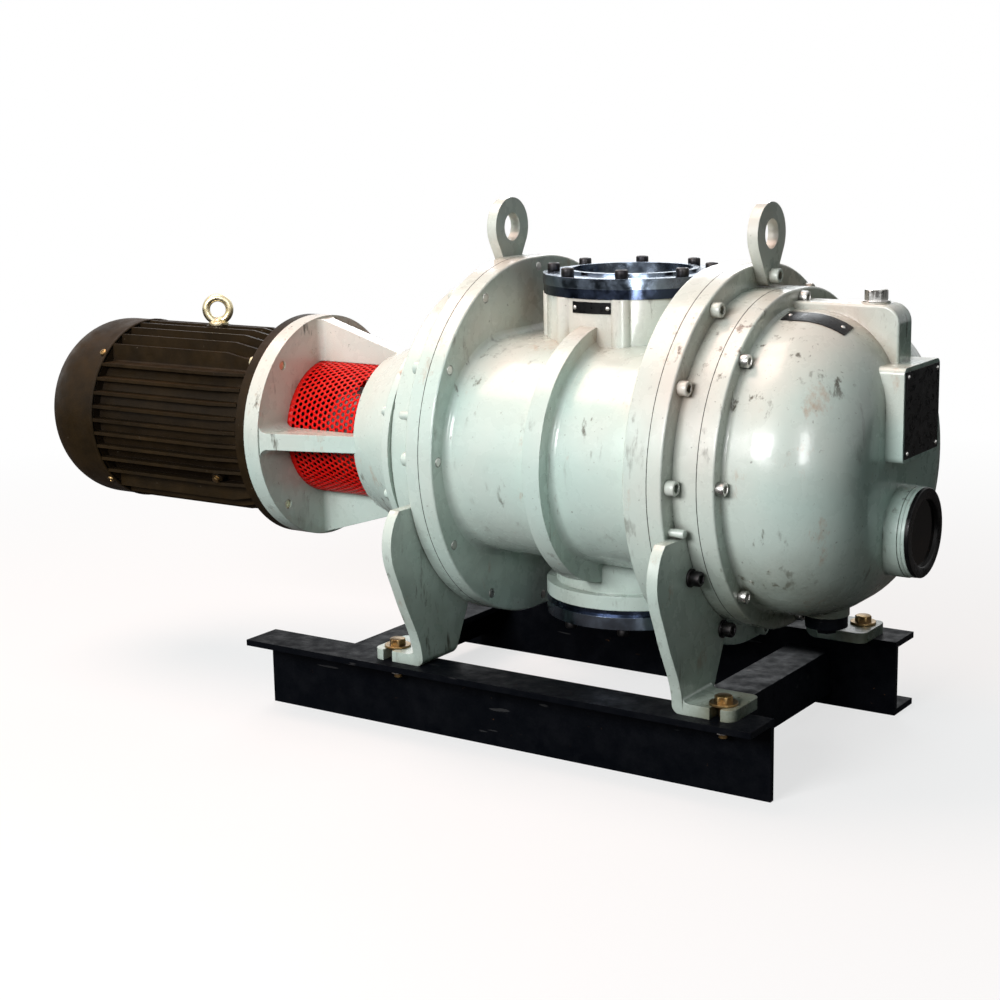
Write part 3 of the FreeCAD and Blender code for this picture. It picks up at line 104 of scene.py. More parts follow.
# %% [markdown]
# ## The lamps
# A machine this large is lit with wide, soft lamps. The front lamp lights the near side and draws the
# window on the casing and the dome, the warm top lamp opens the upper faces, and the one behind lights the
# far side. Two more lamps are seen in reflections only: one puts the spark on the dome, and an upright strip
# shows in the turned port rings and on the neck. The strip is linked to those pieces, so that it doesn't
# streak across the discs as well.

# %% Hang the lamps
def soft_lamp(name, place, target, size, watts, tint=(1.0, 1.0, 1.0)):
    lamp = bpy.data.lights.new(name, "AREA")
    lamp.shape = "RECTANGLE"
    lamp.size, lamp.size_y = size
    lamp.energy = watts
    lamp.color = tint
    holder = bpy.data.objects.new(name, lamp)
    bpy.context.scene.collection.objects.link(holder)
    holder.location = place
    holder.rotation_euler = (Vector(target) - Vector(place)).to_track_quat("-Z", "Y").to_euler()
    return holder


soft_lamp("front_softbox", (0.0, -2.7, 1.35), (0.1, 0, 0.35), (1.3, 0.8), 74, (1.0, 0.985, 1.0))
soft_lamp("top_softbox", (-0.9, -0.3, 2.6), (0.0, 0, 0.4), (1.6, 1.6), 52, (1.0, 0.70, 0.60))
dome_spark = soft_lamp("dome_spark", (2.15, -1.67, 1.12), (0.5, 0, 0.4), (0.5, 0.9), 20)
soft_lamp("back_softbox", (-1.2, 2.4, 1.8), (-0.1, 0, 0.4), (1.6, 1.2), 26, (0.9, 0.95, 1.0))
port_strip = soft_lamp("port_strip", (1.63, -1.96, 0.55), (0.242, 0, 0.50), (0.28, 1.0), 26,
                       (0.96, 0.98, 1.0))
for spark in (dome_spark, port_strip):
    spark.visible_diffuse = False
near_ports = bpy.data.collections.new("near_ports")
for name in ("rotor_casing", "inlet_adaptor_ring", "inlet_flange_ring", "outlet_spacer_ring",
             "outlet_flange_ring"):
    near_ports.objects.link(nodes[name])
port_strip.light_linking.receiver_collection = near_ports

# %% [markdown]
# ## The background
# Behind the machine is plain white. The camera sees it, and so do metal, gloss and glass, which would look
# black without it. All other rays find a dim, faintly green room in its place, so the white adds no light
# of its own and the lamps alone model the shapes.

# %% A white background over a dim room
ROOM = (0.58, 0.86, 0.82, 1)
ROOM_LIGHT = 0.10
WHITE = (1, 1, 1, 1)


def larger(tree, a, b):
    node = tree.nodes.new("ShaderNodeMath")
    node.operation = "MAXIMUM"
    tree.links.new(a, node.inputs[0])
    tree.links.new(b, node.inputs[1])
    return node.outputs[0]


def background(tree, color, strength):
    node = tree.nodes.new("ShaderNodeBackground")
    node.inputs["Color"].default_value = color
    node.inputs["Strength"].default_value = strength
    return node.outputs[0]


def mixed_surface(tree, output, share, a, b):
    node = tree.nodes.new("ShaderNodeMixShader")
    for socket, value in zip(node.inputs, (share, a, b)):
        tree.links.new(value, socket)
    tree.links.new(node.outputs[0], output.inputs["Surface"])


world = bpy.data.worlds.new("studio")
bpy.context.scene.world = world
world.use_nodes = True
sky = world.node_tree
sky.nodes.clear()
ray = sky.nodes.new("ShaderNodeLightPath").outputs
seen = larger(sky, larger(sky, ray["Is Camera Ray"], ray["Is Transmission Ray"]), ray["Is Glossy Ray"])
mixed_surface(sky, sky.nodes.new("ShaderNodeOutputWorld"), seen, background(sky, ROOM, ROOM_LIGHT),
              background(sky, WHITE, 1.0))
bpy.context.scene.view_settings.view_transform = "Standard"
print("background nodes:", len(sky.nodes))

# %% [markdown]
# ## The floor
# The floor is a sheet of white paper. To the camera most of it glows, which keeps it as white as the
# background, and near the machine part of the glow gives way to lit paper, where the shadow shows. To other
# rays the paper is dark grey, so it throws little light up into the shaded undersides.

# %% Lay the floor
FLOOR_HALF = 14
FLOOR_DROP = 0.0005
GLOW_NEAR = 0.70
GLOW_FROM, GLOW_TO = 0.5, 2.2
PAPER_UNSEEN, PAPER_SEEN = (0.12, 0.12, 0.12, 1), (0.90, 0.90, 0.90, 1)

paper = bpy.data.materials.new("floor_paper")
paper.use_nodes = True
tree = paper.node_tree
tree.nodes.clear()
ray = tree.nodes.new("ShaderNodeLightPath").outputs
tone = tree.nodes.new("ShaderNodeMix")
tone.data_type = "RGBA"
tree.links.new(ray["Is Camera Ray"], tone.inputs[0])
tone.inputs[6].default_value = PAPER_UNSEEN
tone.inputs[7].default_value = PAPER_SEEN
matt = tree.nodes.new("ShaderNodeBsdfDiffuse")
tree.links.new(tone.outputs[2], matt.inputs["Color"])
glow = tree.nodes.new("ShaderNodeEmission")
glow.inputs["Strength"].default_value = 1.0
spot = tree.nodes.new("ShaderNodeTexCoord")
reach = tree.nodes.new("ShaderNodeVectorMath")
reach.operation = "LENGTH"
tree.links.new(spot.outputs["Object"], reach.inputs[0])
far = tree.nodes.new("ShaderNodeMapRange")
far.inputs["From Min"].default_value = GLOW_FROM
far.inputs["From Max"].default_value = GLOW_TO
far.inputs["To Min"].default_value = GLOW_NEAR
tree.links.new(reach.outputs["Value"], far.inputs["Value"])
share = tree.nodes.new("ShaderNodeMath")
share.operation = "MULTIPLY"
tree.links.new(ray["Is Camera Ray"], share.inputs[0])
tree.links.new(far.outputs[0], share.inputs[1])
mixed_surface(tree, tree.nodes.new("ShaderNodeOutputMaterial"), share.outputs[0], matt.outputs[0],
              glow.outputs[0])

floor_mesh = bpy.data.meshes.new("floor")
plane = bmesh.new()
bmesh.ops.create_grid(plane, x_segments=1, y_segments=1, size=FLOOR_HALF)
plane.to_mesh(floor_mesh)
plane.free()
floor_mesh.materials.append(paper)
floor = bpy.data.objects.new("floor", floor_mesh)
floor.location.z = -FLOOR_DROP
bpy.context.scene.collection.objects.link(floor)
print("floor nodes:", len(tree.nodes))

# %% [markdown]
# ## Tools for a finish
# Every finish is a small network of nodes. Noise in object space gives stains and grain at their real size,
# because the frame is in metres. Each finish ends in one principled shader; `Finish` keeps its network and
# the few moves that paint needs: grain, a blend of two colours, a bump and a worn edge.

# %% A workbench for finishes
class Finish:
    def __init__(self, name, color, roughness, metallic=0.0):
        self.material = bpy.data.materials.new(name)
        self.material.use_nodes = True
        self.tree = self.material.node_tree
        self.shader = self.tree.nodes["Principled BSDF"]
        self.shader.inputs["Base Color"].default_value = (*color, 1)
        self.shader.inputs["Roughness"].default_value = roughness
        self.shader.inputs["Metallic"].default_value = metallic
        self.place = self.tree.nodes.new("ShaderNodeTexCoord").outputs["Object"]
        self.material.diffuse_color = (*color, 1)

    def link(self, a, b):
        self.tree.links.new(a, b)

    def stretched(self, scale):
        node = self.tree.nodes.new("ShaderNodeMapping")
        node.inputs["Scale"].default_value = scale
        self.link(self.place, node.inputs["Vector"])
        return node.outputs[0]

    def grain(self, scale, detail=4.0, rough=0.55, where=None):
        node = self.tree.nodes.new("ShaderNodeTexNoise")
        node.inputs["Scale"].default_value = scale
        node.inputs["Detail"].default_value = detail
        node.inputs["Roughness"].default_value = rough
        self.link(where or self.place, node.inputs["Vector"])
        return node.outputs["Fac"]

    def band(self, value, low, high, start=0.0, end=1.0):
        node = self.tree.nodes.new("ShaderNodeMapRange")
        node.inputs["From Min"].default_value = low
        node.inputs["From Max"].default_value = high
        node.inputs["To Min"].default_value = start
        node.inputs["To Max"].default_value = end
        self.link(value, node.inputs["Value"])
        return node.outputs[0]

    def math(self, kind, a, b):
        node = self.tree.nodes.new("ShaderNodeMath")
        node.operation = kind
        for socket, value in zip(node.inputs, (a, b)):
            if isinstance(value, (int, float)):
                socket.default_value = value
            else:
                self.link(value, socket)
        return node.outputs[0]

    def mix(self, factor, a, b):
        node = self.tree.nodes.new("ShaderNodeMix")
        node.data_type = "RGBA"
        for socket, value in ((node.inputs[0], factor), (node.inputs[6], a), (node.inputs[7], b)):
            if isinstance(value, tuple):
                socket.default_value = (*value, 1)
            elif isinstance(value, (int, float)):
                socket.default_value = value
            else:
                self.link(value, socket)
        return node.outputs[2]

    # Ambient occlusion: the finishes below use it to find corners, for stains and for painted shade.
    def corners(self, distance):
        node = self.tree.nodes.new("ShaderNodeAmbientOcclusion")
        node.samples = 4
        node.inputs["Distance"].default_value = distance
        return node.outputs["AO"]

    def axes_of(self):
        node = self.tree.nodes.new("ShaderNodeSeparateXYZ")
        self.link(self.place, node.inputs[0])
        return node.outputs

    def bump(self, value, depth, edge=0.0):
        node = self.tree.nodes.new("ShaderNodeBump")
        node.inputs["Distance"].default_value = depth
        node.inputs["Strength"].default_value = 1.0
        self.link(value, node.inputs["Height"])
        if edge:
            rounder = self.tree.nodes.new("ShaderNodeBevel")
            rounder.samples = 4
            rounder.inputs["Radius"].default_value = edge
            self.link(rounder.outputs[0], node.inputs["Normal"])
        self.link(node.outputs[0], self.shader.inputs["Normal"])

    def color(self, value):
        self.link(value, self.shader.inputs["Base Color"])

    def roughness(self, value):
        self.link(value, self.shader.inputs["Roughness"])


finishes = {}
print("workbench ready")

# %% [markdown]
# ## Castings in pale green enamel
# The castings, feet and lifting eyes are brushed with one thick grey-green enamel. It is glossy over a
# slightly wavy casting skin. Years in a works leave brown scuffs, dark specks and rust, the rust in corners
# higher up. The corners also get a painted shade, broken up by a large noise, and the paint turns darker
# towards the bottom. The upper faces carry a painted warm light, in patches. At the gear end, the underside
# of the oil box is darker and browner.

# %% The enamel
ENAMEL = (0.56, 0.70, 0.64)
WARM_TONE_AND_TOP_LIGHT = (0.72, 0.66, 0.59)
DIRT = (0.07, 0.062, 0.04)
RUST = (0.42, 0.24, 0.13)
LOW_DARK_TONE = (0.12, 0.13, 0.09)
GEAR_END_LOW_TONE = (0.13, 0.12, 0.065)


def enamel(name, wave=0.0006, scuffs=0.62):
    paint = Finish(name, ENAMEL, 0.3)
    axes = paint.axes_of()
    height = axes["Z"]
    shift = paint.band(paint.grain(4.0, 3), 0.38, 0.66)
    # Warm patches of tone, stronger on the upper faces: there the warmth is a painted light from above.
    painted_top_light = paint.band(height, 0.25, 0.50, 0.2, 0.9)
    base = paint.mix(paint.math("MULTIPLY", shift, painted_top_light), ENAMEL, WARM_TONE_AND_TOP_LIGHT)
    patchy = paint.band(paint.grain(7.0, 3), 0.47, 0.62)
    smear = paint.band(paint.grain(60.0, 5, 0.65, paint.stretched((1.0, 1.0, 0.22))), 0.59, 0.67)
    rubbed = paint.math("MULTIPLY", smear, patchy)
    marked = paint.mix(paint.math("MULTIPLY", rubbed, scuffs * 1.5), base, DIRT)
    streak = paint.band(paint.grain(22.0, 6, 0.7, paint.stretched((1.0, 1.0, 0.5))), 0.62, 0.74)
    worn = paint.mix(paint.math("MULTIPLY", streak, scuffs), marked, RUST)
    speck = paint.band(paint.grain(170.0, 2, 0.6), 0.70, 0.76)
    dotted = paint.mix(paint.math("MULTIPLY", speck, 0.55), worn, DIRT)
    corner = paint.corners(0.045)
    near_wall = paint.band(corner, 0.85, 0.35, 0.0, 0.75)
    rusty = paint.math("MULTIPLY", near_wall, paint.band(height, 0.42, 0.50))
    washed = paint.math("MULTIPLY", rusty, paint.band(paint.grain(9.0, 4), 0.42, 0.60))
    stained = paint.mix(washed, dotted, RUST)
    # Painted shade: the corners, found by ambient occlusion, darken towards the dirt colour, broken up by a
    # noise.
    painted_corner_shade = paint.band(corner, 0.65, 0.15)
    corner_shade_and_dirt = paint.math("MULTIPLY", painted_corner_shade, paint.band(paint.grain(14.0, 5), 0.3, 0.7, 0.35, 0.95))
    # Darker towards the bottom, broken up by a noise.
    low = paint.band(height, 0.33, 0.12, 0.0, 0.55)
    darker_low_share = paint.math("MULTIPLY", low, paint.band(paint.grain(9.0, 4), 0.35, 0.70))
    darkened_low = paint.mix(darker_low_share, paint.mix(corner_shade_and_dirt, stained, DIRT), LOW_DARK_TONE)
    # Darker and browner towards the bottom of the gear end, under the oil box.
    gear_end_low = paint.math("MULTIPLY", paint.band(axes["X"], 0.43, 0.47), paint.band(height, 0.31, 0.17))
    patches = paint.math("MULTIPLY", gear_end_low, paint.band(paint.grain(11.0, 5, 0.65), 0.34, 0.62, 0.45, 0.95))
    paint.color(paint.mix(patches, darkened_low, GEAR_END_LOW_TONE))
    paint.roughness(paint.band(paint.grain(40.0, 4), 0.3, 0.7, 0.18, 0.38))
    skin = paint.math("ADD", paint.grain(34.0, 3, 0.5), paint.math("MULTIPLY", paint.grain(300.0, 2), 0.10))
    paint.bump(skin, wave, 0.0016)
    paint.shader.inputs["Coat Weight"].default_value = 0.25
    paint.shader.inputs["Coat Roughness"].default_value = 0.10
    return paint.material


finishes["enamel"] = enamel("pale_green_enamel")
finishes["enamel_screws"] = enamel("enamel_over_screws", 0.0002, 0.9)
print("enamel:", len(finishes))

# %% [markdown]
# ## Motor, guard and rails
# The motor wears a dark brown satin paint, dusty in patches, with painted shade between its fins. The
# coupling guard is a bright red signal paint, rubbed a little paler in places, with painted shade in its
# corners. The rails are black, with a breath of dust, fine scratches down to grey steel and a few spots of
# rust.

# %% The other paints
MOTOR_BROWN = (0.012, 0.0074, 0.0027)
MOTOR_DUST = (0.042, 0.025, 0.009)
GUARD_RED = (0.64, 0.003, 0.002)
RAIL_BLACK = (0.0016, 0.0022, 0.0036)

brown = Finish("brown_motor_paint", MOTOR_BROWN, 0.45)
patches = brown.band(brown.grain(18.0, 6, 0.65), 0.38, 0.72)
dusty = brown.mix(brown.math("MULTIPLY", patches, 0.55), MOTOR_BROWN, MOTOR_DUST)
chips = brown.band(brown.grain(120.0, 3, 0.7), 0.71, 0.75)
scraped = brown.mix(brown.math("MULTIPLY", chips, 0.6), dusty, (0.30, 0.26, 0.21))
# Painted shade: ambient occlusion darkens the gaps between the fins.
painted_fin_shade = brown.band(brown.corners(0.016), 0.7, 0.2)
brown.color(brown.mix(painted_fin_shade, scraped, (0.012, 0.008, 0.005)))
brown.roughness(brown.band(brown.grain(60.0, 4), 0.3, 0.7, 0.36, 0.62))
brown.shader.inputs["Specular IOR Level"].default_value = 0.10
brown.bump(brown.grain(420.0, 3, 0.6), 0.00025, 0.0010)
finishes["motor_paint"] = brown.material

red = Finish("red_guard_paint", GUARD_RED, 0.32)
rub = red.band(red.grain(22.0, 5), 0.42, 0.74)
rubbed = red.mix(red.math("MULTIPLY", rub, 0.3), GUARD_RED, (0.70, 0.03, 0.012))
# Painted shade: ambient occlusion darkens the red in the corners.
painted_guard_shade = red.band(red.corners(0.012), 0.8, 0.3)
red.color(red.mix(red.math("MULTIPLY", painted_guard_shade, 0.6), rubbed, (0.12, 0.004, 0.003)))
red.roughness(red.band(red.grain(90.0, 3), 0.3, 0.7, 0.25, 0.42))
red.shader.inputs["Specular IOR Level"].default_value = 0.15
red.bump(red.grain(350.0, 2), 0.0001)
finishes["red_paint"] = red.material

black = Finish("black_rail_paint", RAIL_BLACK, 0.5)
dust = black.band(black.grain(30.0, 7, 0.7), 0.45, 0.8)
powdered = black.mix(black.math("MULTIPLY", dust, 0.35), RAIL_BLACK, (0.013, 0.014, 0.017))
scratch = black.band(black.grain(90.0, 2, 0.5, black.stretched((0.12, 1.0, 1.0))), 0.705, 0.72)
scratched = black.mix(black.math("MULTIPLY", scratch, 0.22), powdered, (0.12, 0.12, 0.12))
spots = black.band(black.grain(70.0, 5, 0.75), 0.68, 0.74)
black.color(black.mix(black.math("MULTIPLY", spots, 0.5), scratched, (0.16, 0.075, 0.03)))
black.roughness(black.band(black.grain(50.0, 5), 0.3, 0.7, 0.34, 0.66))
black.shader.inputs["Specular IOR Level"].default_value = 0.04
black.bump(black.grain(260.0, 4, 0.6), 0.0003, 0.0010)
finishes["black_paint"] = black.material
print("paints:", list(finishes))

# %% [markdown]
# ## Bare metals
# The rings of the ports are turned steel: the tool leaves fine circles round the port's middle line, so the
# bump is a set of rings around it. Socket screws are black from their oxide bath, the foot bolts and the
# eyebolt are yellow zinc plate, and the gears and rotors are ground or cast iron that oil has darkened.

# %% Metals
PORT_X = 140.0
PORT_AXIS = at(PORT_X, 0, 0)


def turned_steel(name, color, stain, roughness, stain_share):
    metal = Finish(name, color, roughness, 1.0)
    shift = metal.tree.nodes.new("ShaderNodeVectorMath")
    shift.operation = "SUBTRACT"
    shift.inputs[1].default_value = PORT_AXIS
    metal.link(metal.place, shift.inputs[0])
    rings = metal.tree.nodes.new("ShaderNodeTexWave")
    rings.wave_type = "RINGS"
    rings.rings_direction = "Z"
    rings.inputs["Scale"].default_value = 260.0
    rings.inputs["Distortion"].default_value = 0.4
    metal.link(shift.outputs[0], rings.inputs["Vector"])
    mottled = metal.band(metal.grain(24.0, 6, 0.7), 0.42, 0.70)
    metal.color(metal.mix(metal.math("MULTIPLY", mottled, stain_share), color, stain))
    metal.roughness(metal.band(metal.grain(60.0, 5), 0.3, 0.7, roughness - 0.07, roughness + 0.14))
    metal.bump(rings.outputs["Fac"], 0.00004, 0.0006)
    return metal.material


def plain_metal(name, color, second, roughness, share=0.5, scale=55.0, grain_depth=0.0001):
    metal = Finish(name, color, roughness, 1.0)
    cloud = metal.band(metal.grain(scale, 5, 0.65), 0.38, 0.68)
    tone = metal.mix(metal.math("MULTIPLY", cloud, share), color, second)
    # Ambient occlusion darkens the corners: partly grime, partly painted shade.
    corner_grime_and_shade = metal.band(metal.corners(0.006), 0.7, 0.2)
    metal.color(metal.mix(metal.math("MULTIPLY", corner_grime_and_shade, 0.6), tone, (0.02, 0.017, 0.012)))
    metal.roughness(metal.band(metal.grain(scale * 2, 4), 0.3, 0.7, roughness - 0.08, roughness + 0.15))
    metal.bump(metal.grain(600.0, 3), grain_depth, 0.0005)
    return metal.material


finishes["blued_steel"] = turned_steel("blued_ring", (0.045, 0.060, 0.10), (0.02, 0.022, 0.026), 0.17, 0.5)
finishes["bright_steel"] = turned_steel("bright_ring", (0.22, 0.27, 0.34), (0.05, 0.06, 0.08), 0.16, 0.6)
finishes["black_screws"] = plain_metal("black_oxide", (0.020, 0.020, 0.023), (0.07, 0.065, 0.06), 0.38)
finishes["zinc_steel"] = plain_metal("yellow_zinc", (0.66, 0.56, 0.33), (0.50, 0.52, 0.50), 0.30)
finishes["aged_zinc"] = plain_metal("aged_yellow_zinc", (0.26, 0.17, 0.07), (0.08, 0.06, 0.04), 0.34)
finishes["gear_steel"] = plain_metal("oiled_steel", (0.46, 0.45, 0.43), (0.30, 0.27, 0.22), 0.25)
finishes["rotor_iron"] = plain_metal("machined_iron", (0.30, 0.30, 0.31), (0.18, 0.16, 0.14), 0.36)
finishes["brass"] = plain_metal("gland_brass", (0.70, 0.52, 0.24), (0.45, 0.33, 0.18), 0.3)
finishes["bare_steel"] = plain_metal("bright_fasteners", (0.58, 0.58, 0.56), (0.35, 0.33, 0.30), 0.3)
print("metals:", len(finishes))

# %% [markdown]
# ## Glass, rubber and plastic
# The sight glass looks black because the oil chamber behind it is dark, with a trace of brown where the oil
# stands. The seals and the coupling star are matt rubber, and the fan behind the cowl is a moulded plastic
# with a fine texture.

# %% Glass and soft materials
glass = Finish("sight_glass", (0.004, 0.004, 0.004), 0.06)
oil = glass.band(glass.axes_of()["Z"], 0.286, 0.292)
glass.color(glass.mix(oil, (0.008, 0.004, 0.0015), (0.0015, 0.0015, 0.0015)))
glass.roughness(glass.band(glass.grain(50.0, 4), 0.35, 0.75, 0.04, 0.14))
glass.shader.inputs["Specular IOR Level"].default_value = 0.22
finishes["glass"] = glass.material


def soft_black(name, roughness, scale):
    soft = Finish(name, (0.007, 0.007, 0.008), roughness)
    chalk = soft.band(soft.grain(scale, 5), 0.4, 0.75)
    soft.color(soft.mix(soft.math("MULTIPLY", chalk, 0.4), (0.003, 0.003, 0.0035), (0.013, 0.012, 0.011)))
    soft.roughness(soft.band(soft.grain(scale * 2, 3), 0.3, 0.7, roughness - 0.1, roughness + 0.1))
    soft.shader.inputs["Specular IOR Level"].default_value = 0.14
    soft.bump(soft.grain(scale * 8, 3), 0.0002)
    return soft.material


finishes["seal_rubber"] = soft_black("oil_seal_rubber", 0.65, 45.0)
finishes["black_plastic"] = soft_black("moulded_fan_plastic", 0.5, 80.0)
finishes["plate_black"] = soft_black("blank_plate_black", 0.32, 60.0)
print("finishes:", len(finishes))

# %% [markdown]
# ## Paint the frame
# Every solid of the frame names a material slot in the machine's record. Each one now gets the finish made
# for that slot, in place of the plain colour it came with.

# %% Give each solid its finish
slot_of = {part["node"]: part["material_slot"] for part in frame["record"]["subparts"]}
for name, solid in nodes.items():
    solid.data.materials.clear()
    solid.data.materials.append(finishes[slot_of[name]])
print("painted:", len(slot_of))

# %% [markdown]
# ## A lathe
# Screws, plugs, rivets and rings are all turned shapes. `lathe` spins a list of (height, radius) rings
# about a line; a radius may also change with the angle, which turns a round head into a hexagon or a
# knurled one.

# %% Turn a shape about a line
def hexagon(across):
    def radius(angle):
        return across / 2 / math.cos((angle + math.pi / 6) % (math.pi / 3) - math.pi / 6)
    return radius


STEPS = 48


def knurled(r, depth):
    def radius(angle):
        return r - (depth if round(angle / (2 * math.pi) * STEPS) % 2 else 0.0)
    return radius


def lathe(mesh, rings, origin, axis, steps=STEPS, caps=(True, True)):
    axis = Vector(axis).normalized()
    side = axis.orthogonal().normalized()
    other = axis.cross(side)
    loops = []
    for height, radius in rings:
        loop = []
        for i in range(steps):
            angle = 2 * math.pi * i / steps
            r = radius(angle) if callable(radius) else radius
            spot = axis * height + side * (r * math.cos(angle)) + other * (r * math.sin(angle))
            loop.append(mesh.verts.new(origin + spot * MM))
        loops.append(loop)
    for a, b in zip(loops, loops[1:]):
        for i in range(steps):
            j = (i + 1) % steps
            mesh.faces.new((a[i], a[j], b[j], b[i]))
    if caps[0]:
        mesh.faces.new(list(reversed(loops[0])))
    if caps[1]:
        mesh.faces.new(loops[-1])


print("steps of the lathe:", STEPS)

# %% [markdown]
# ## From a mesh to a piece
# A drawn mesh becomes a piece of the machine here. Its normals are set outwards, round parts are shaded
# smoothly while edges stay sharp, and it rides on one of the machine's three bodies. `turns` gives the angles
# of a bolt circle, and `join_loops` skins a row of outlines that closes on itself, for swept shapes.

# %% Finish a mesh, and sweep one
def piece(name, mesh, slot, finish=None, body="pump_frame", sharp=35):
    data = bpy.data.meshes.new(name)
    bmesh.ops.recalc_face_normals(mesh, faces=mesh.faces)
    mesh.to_mesh(data)
    mesh.free()
    data.materials.append(finishes[finish or slot])
    data.shade_smooth()
    data.set_sharp_from_angle(angle=math.radians(sharp))
    made = bpy.data.objects.new(name, data)
    bpy.context.scene.collection.objects.link(made)
    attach(made, body)
    print(name, "faces:", len(data.polygons))
    return made


def turns(count, first=0.0):
    return [math.radians(first + 360.0 / count * i) for i in range(count)]


def join_loops(mesh, loops, closed=False, gaps=()):
    for i, a in enumerate(loops):
        if i in gaps:
            continue
        b = loops[(i + 1) % len(loops)]
        for k in range(len(a) if closed else len(a) - 1):
            n = (k + 1) % len(a)
            mesh.faces.new((a[k], a[n], b[n], b[k]))


print("angles of four screws:", [round(math.degrees(a)) for a in turns(4, 45.0)])

# %% [markdown]
# ## Socket head screws
# A real cap screw has a knurled side, a chamfered top and a hexagon socket. One function turns the whole
# screw, shank included, so it can stand for the plain cylinders of the frame.

# %% A socket head screw
def cap_screw(mesh, origin, axis, head, length, washer=None):
    r, h, shank = head
    across = r * 1.05
    rings = [(-length, shank * 0.8), (-length + 1.5, shank), (0.0, shank)]
    if washer:
        wr, wt = washer
        rings = [(-length, shank * 0.8), (-length + 1.5, shank), (-wt, shank), (-wt, wr - 0.4),
                 (-wt + 0.4, wr), (-0.4, wr), (0.0, wr - 0.4)]
    rings += [(0.0, r - 0.5), (0.6, knurled(r, 0.25)), (h - 1.4, knurled(r, 0.25)), (h - 0.9, r - 0.3),
              (h, r - 1.2), (h, hexagon(across + 0.8)), (h - 0.5, hexagon(across)),
              (h - h * 0.5, hexagon(across)), (h - h * 0.62, 1.0)]
    lathe(mesh, rings, origin, axis)


M12 = (9.0, 12.0, 6.0)
M10 = (8.0, 10.0, 5.0)
M8 = (6.5, 8.0, 4.0)


def around(angle, r, offset):
    a = math.radians(angle)
    side = math.cos(a)
    if abs(side) < 0.001:
        return 0.0, r * math.sin(a)
    return math.copysign(offset, side) + r * side, r * math.sin(a)


print("screw sizes:", M12, M10, M8)

# %% [markdown]
# ## The screws of the end plates
# Twelve screws hold each end plate. The lowest four of each also hold the feet, with black heads over
# washers, and the top one holds a lifting eye. They were painted with the machine, the foot screws later.

# %% End plate screws and foot screws
DISC_R, DISC_OFFSET = 220.0, 13.0
FOOT_ANGLES = (210.0, 240.0, 300.0, 330.0)
EYE_ANGLE = 90.0
DRIVE_FACE, GEAR_FACE = -40.0, 319.0
PLATE = 14.0
WASHER = (11.0, 2.5)
SEAT = PLATE + WASHER[1]
REACH_DRIVE, REACH_GEAR = 39.0, 41.0

painted = bmesh.new()
blackened = bmesh.new()
for i in range(12):
    angle = 30.0 * i
    across, rise = around(angle, DISC_R, DISC_OFFSET)
    extra = PLATE if angle == EYE_ANGLE else 0.0
    for face, side, reach in ((DRIVE_FACE, -1, REACH_DRIVE), (GEAR_FACE, 1, REACH_GEAR)):
        if angle in FOOT_ANGLES:
            cap_screw(blackened, at(face + side * SEAT, across, rise), (side, 0, 0), M12, reach + SEAT,
                      WASHER)
        else:
            cap_screw(painted, at(face + side * extra, across, rise), (side, 0, 0), M12, reach + extra)
end_plate_screws = piece("end_plate_socket_screws", painted, "enamel_screws")
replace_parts(end_plate_screws, "end_plate_screws")
foot_screws = piece("foot_socket_screws", blackened, "black_screws")
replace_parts(foot_screws, "foot_plate_bolts")

# %% [markdown]
# ## Cover, lantern and port screws
# The same screw in smaller sizes: eight around the domed cover, eight in the lantern's foot ring and eight
# in each port flange. The cover's screws were fitted after painting and are bare, the ports' are black.

# %% The smaller screws
COVER_FACE, COVER_R, COVER_OFFSET = 372.0, 195.5, 16.0
LANTERN_FACE, LANTERN_CIRCLE = -93.0, 138.0
PORT_FACE, PORT_CIRCLE = 219.0, 100.0

cover = bmesh.new()
for i in range(8):
    across, rise = around(45.0 * i, COVER_R, COVER_OFFSET)
    cap_screw(cover, at(COVER_FACE, across, rise), (1, 0, 0), M10, 37.0)
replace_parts(piece("cover_socket_screws", cover, "enamel_screws", "bare_steel"), "gear_cover_screws")

ring = bmesh.new()
suction = bmesh.new()
discharge = bmesh.new()
for a in turns(8, 22.5):
    across, rise = DRIVE_Y + LANTERN_CIRCLE * math.cos(a), LANTERN_CIRCLE * math.sin(a)
    cap_screw(ring, at(LANTERN_FACE, across, rise), (-1, 0, 0), M8, 25.0)
    along, across = PORT_X + PORT_CIRCLE * math.cos(a), PORT_CIRCLE * math.sin(a)
    cap_screw(suction, at(along, across, PORT_FACE), (0, 0, 1), M10, 40.0)
    cap_screw(discharge, at(along, across, -PORT_FACE), (0, 0, -1), M10, 40.0)
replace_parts(piece("lantern_socket_screws", ring, "enamel_screws"), "lantern_screws")
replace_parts(piece("inlet_socket_screws", suction, "black_screws"), "inlet_screws")
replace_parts(piece("outlet_socket_screws", discharge, "black_screws"), "outlet_screws")

# %% [markdown]
# ## Hexagon heads
# Forged hexagons have a round chamfer on their corners: the face is a circle a little smaller than the
# corners, and the flats run up to it. A plug has a round collar under its hexagon, so the same function
# takes a washer as well.

# %% A hexagon head
def hexagon_head(mesh, origin, axis, across, height, shank, length, washer=None):
    rings = [(-length, shank * 0.8), (-length + 1.2, shank), (0.0, shank)]
    base = 0.0
    if washer:
        wr, base = washer
        rings += [(0.0, wr - 0.4), (0.4, wr), (base - 0.4, wr), (base, wr - 0.4)]
    top = base + height
    rings += [(base, hexagon(across)), (top - 1.6, hexagon(across)), (top - 0.7, across / 2 * 1.06),
              (top, across / 2 * 0.93)]
    lathe(mesh, rings, origin, axis)


print("corner of a 19 mm hexagon:", round(hexagon(19.0)(math.pi / 6), 2), "mm")

# %% [markdown]
# ## The bolts of the feet
# Each foot stands on a rail with one bolt: head and wide washer above, small washer and nut below. A washer
# or nut is a ring with a hole, so its turned outline is left open at both ends. The zinc plate on the heads
# has aged to brown.

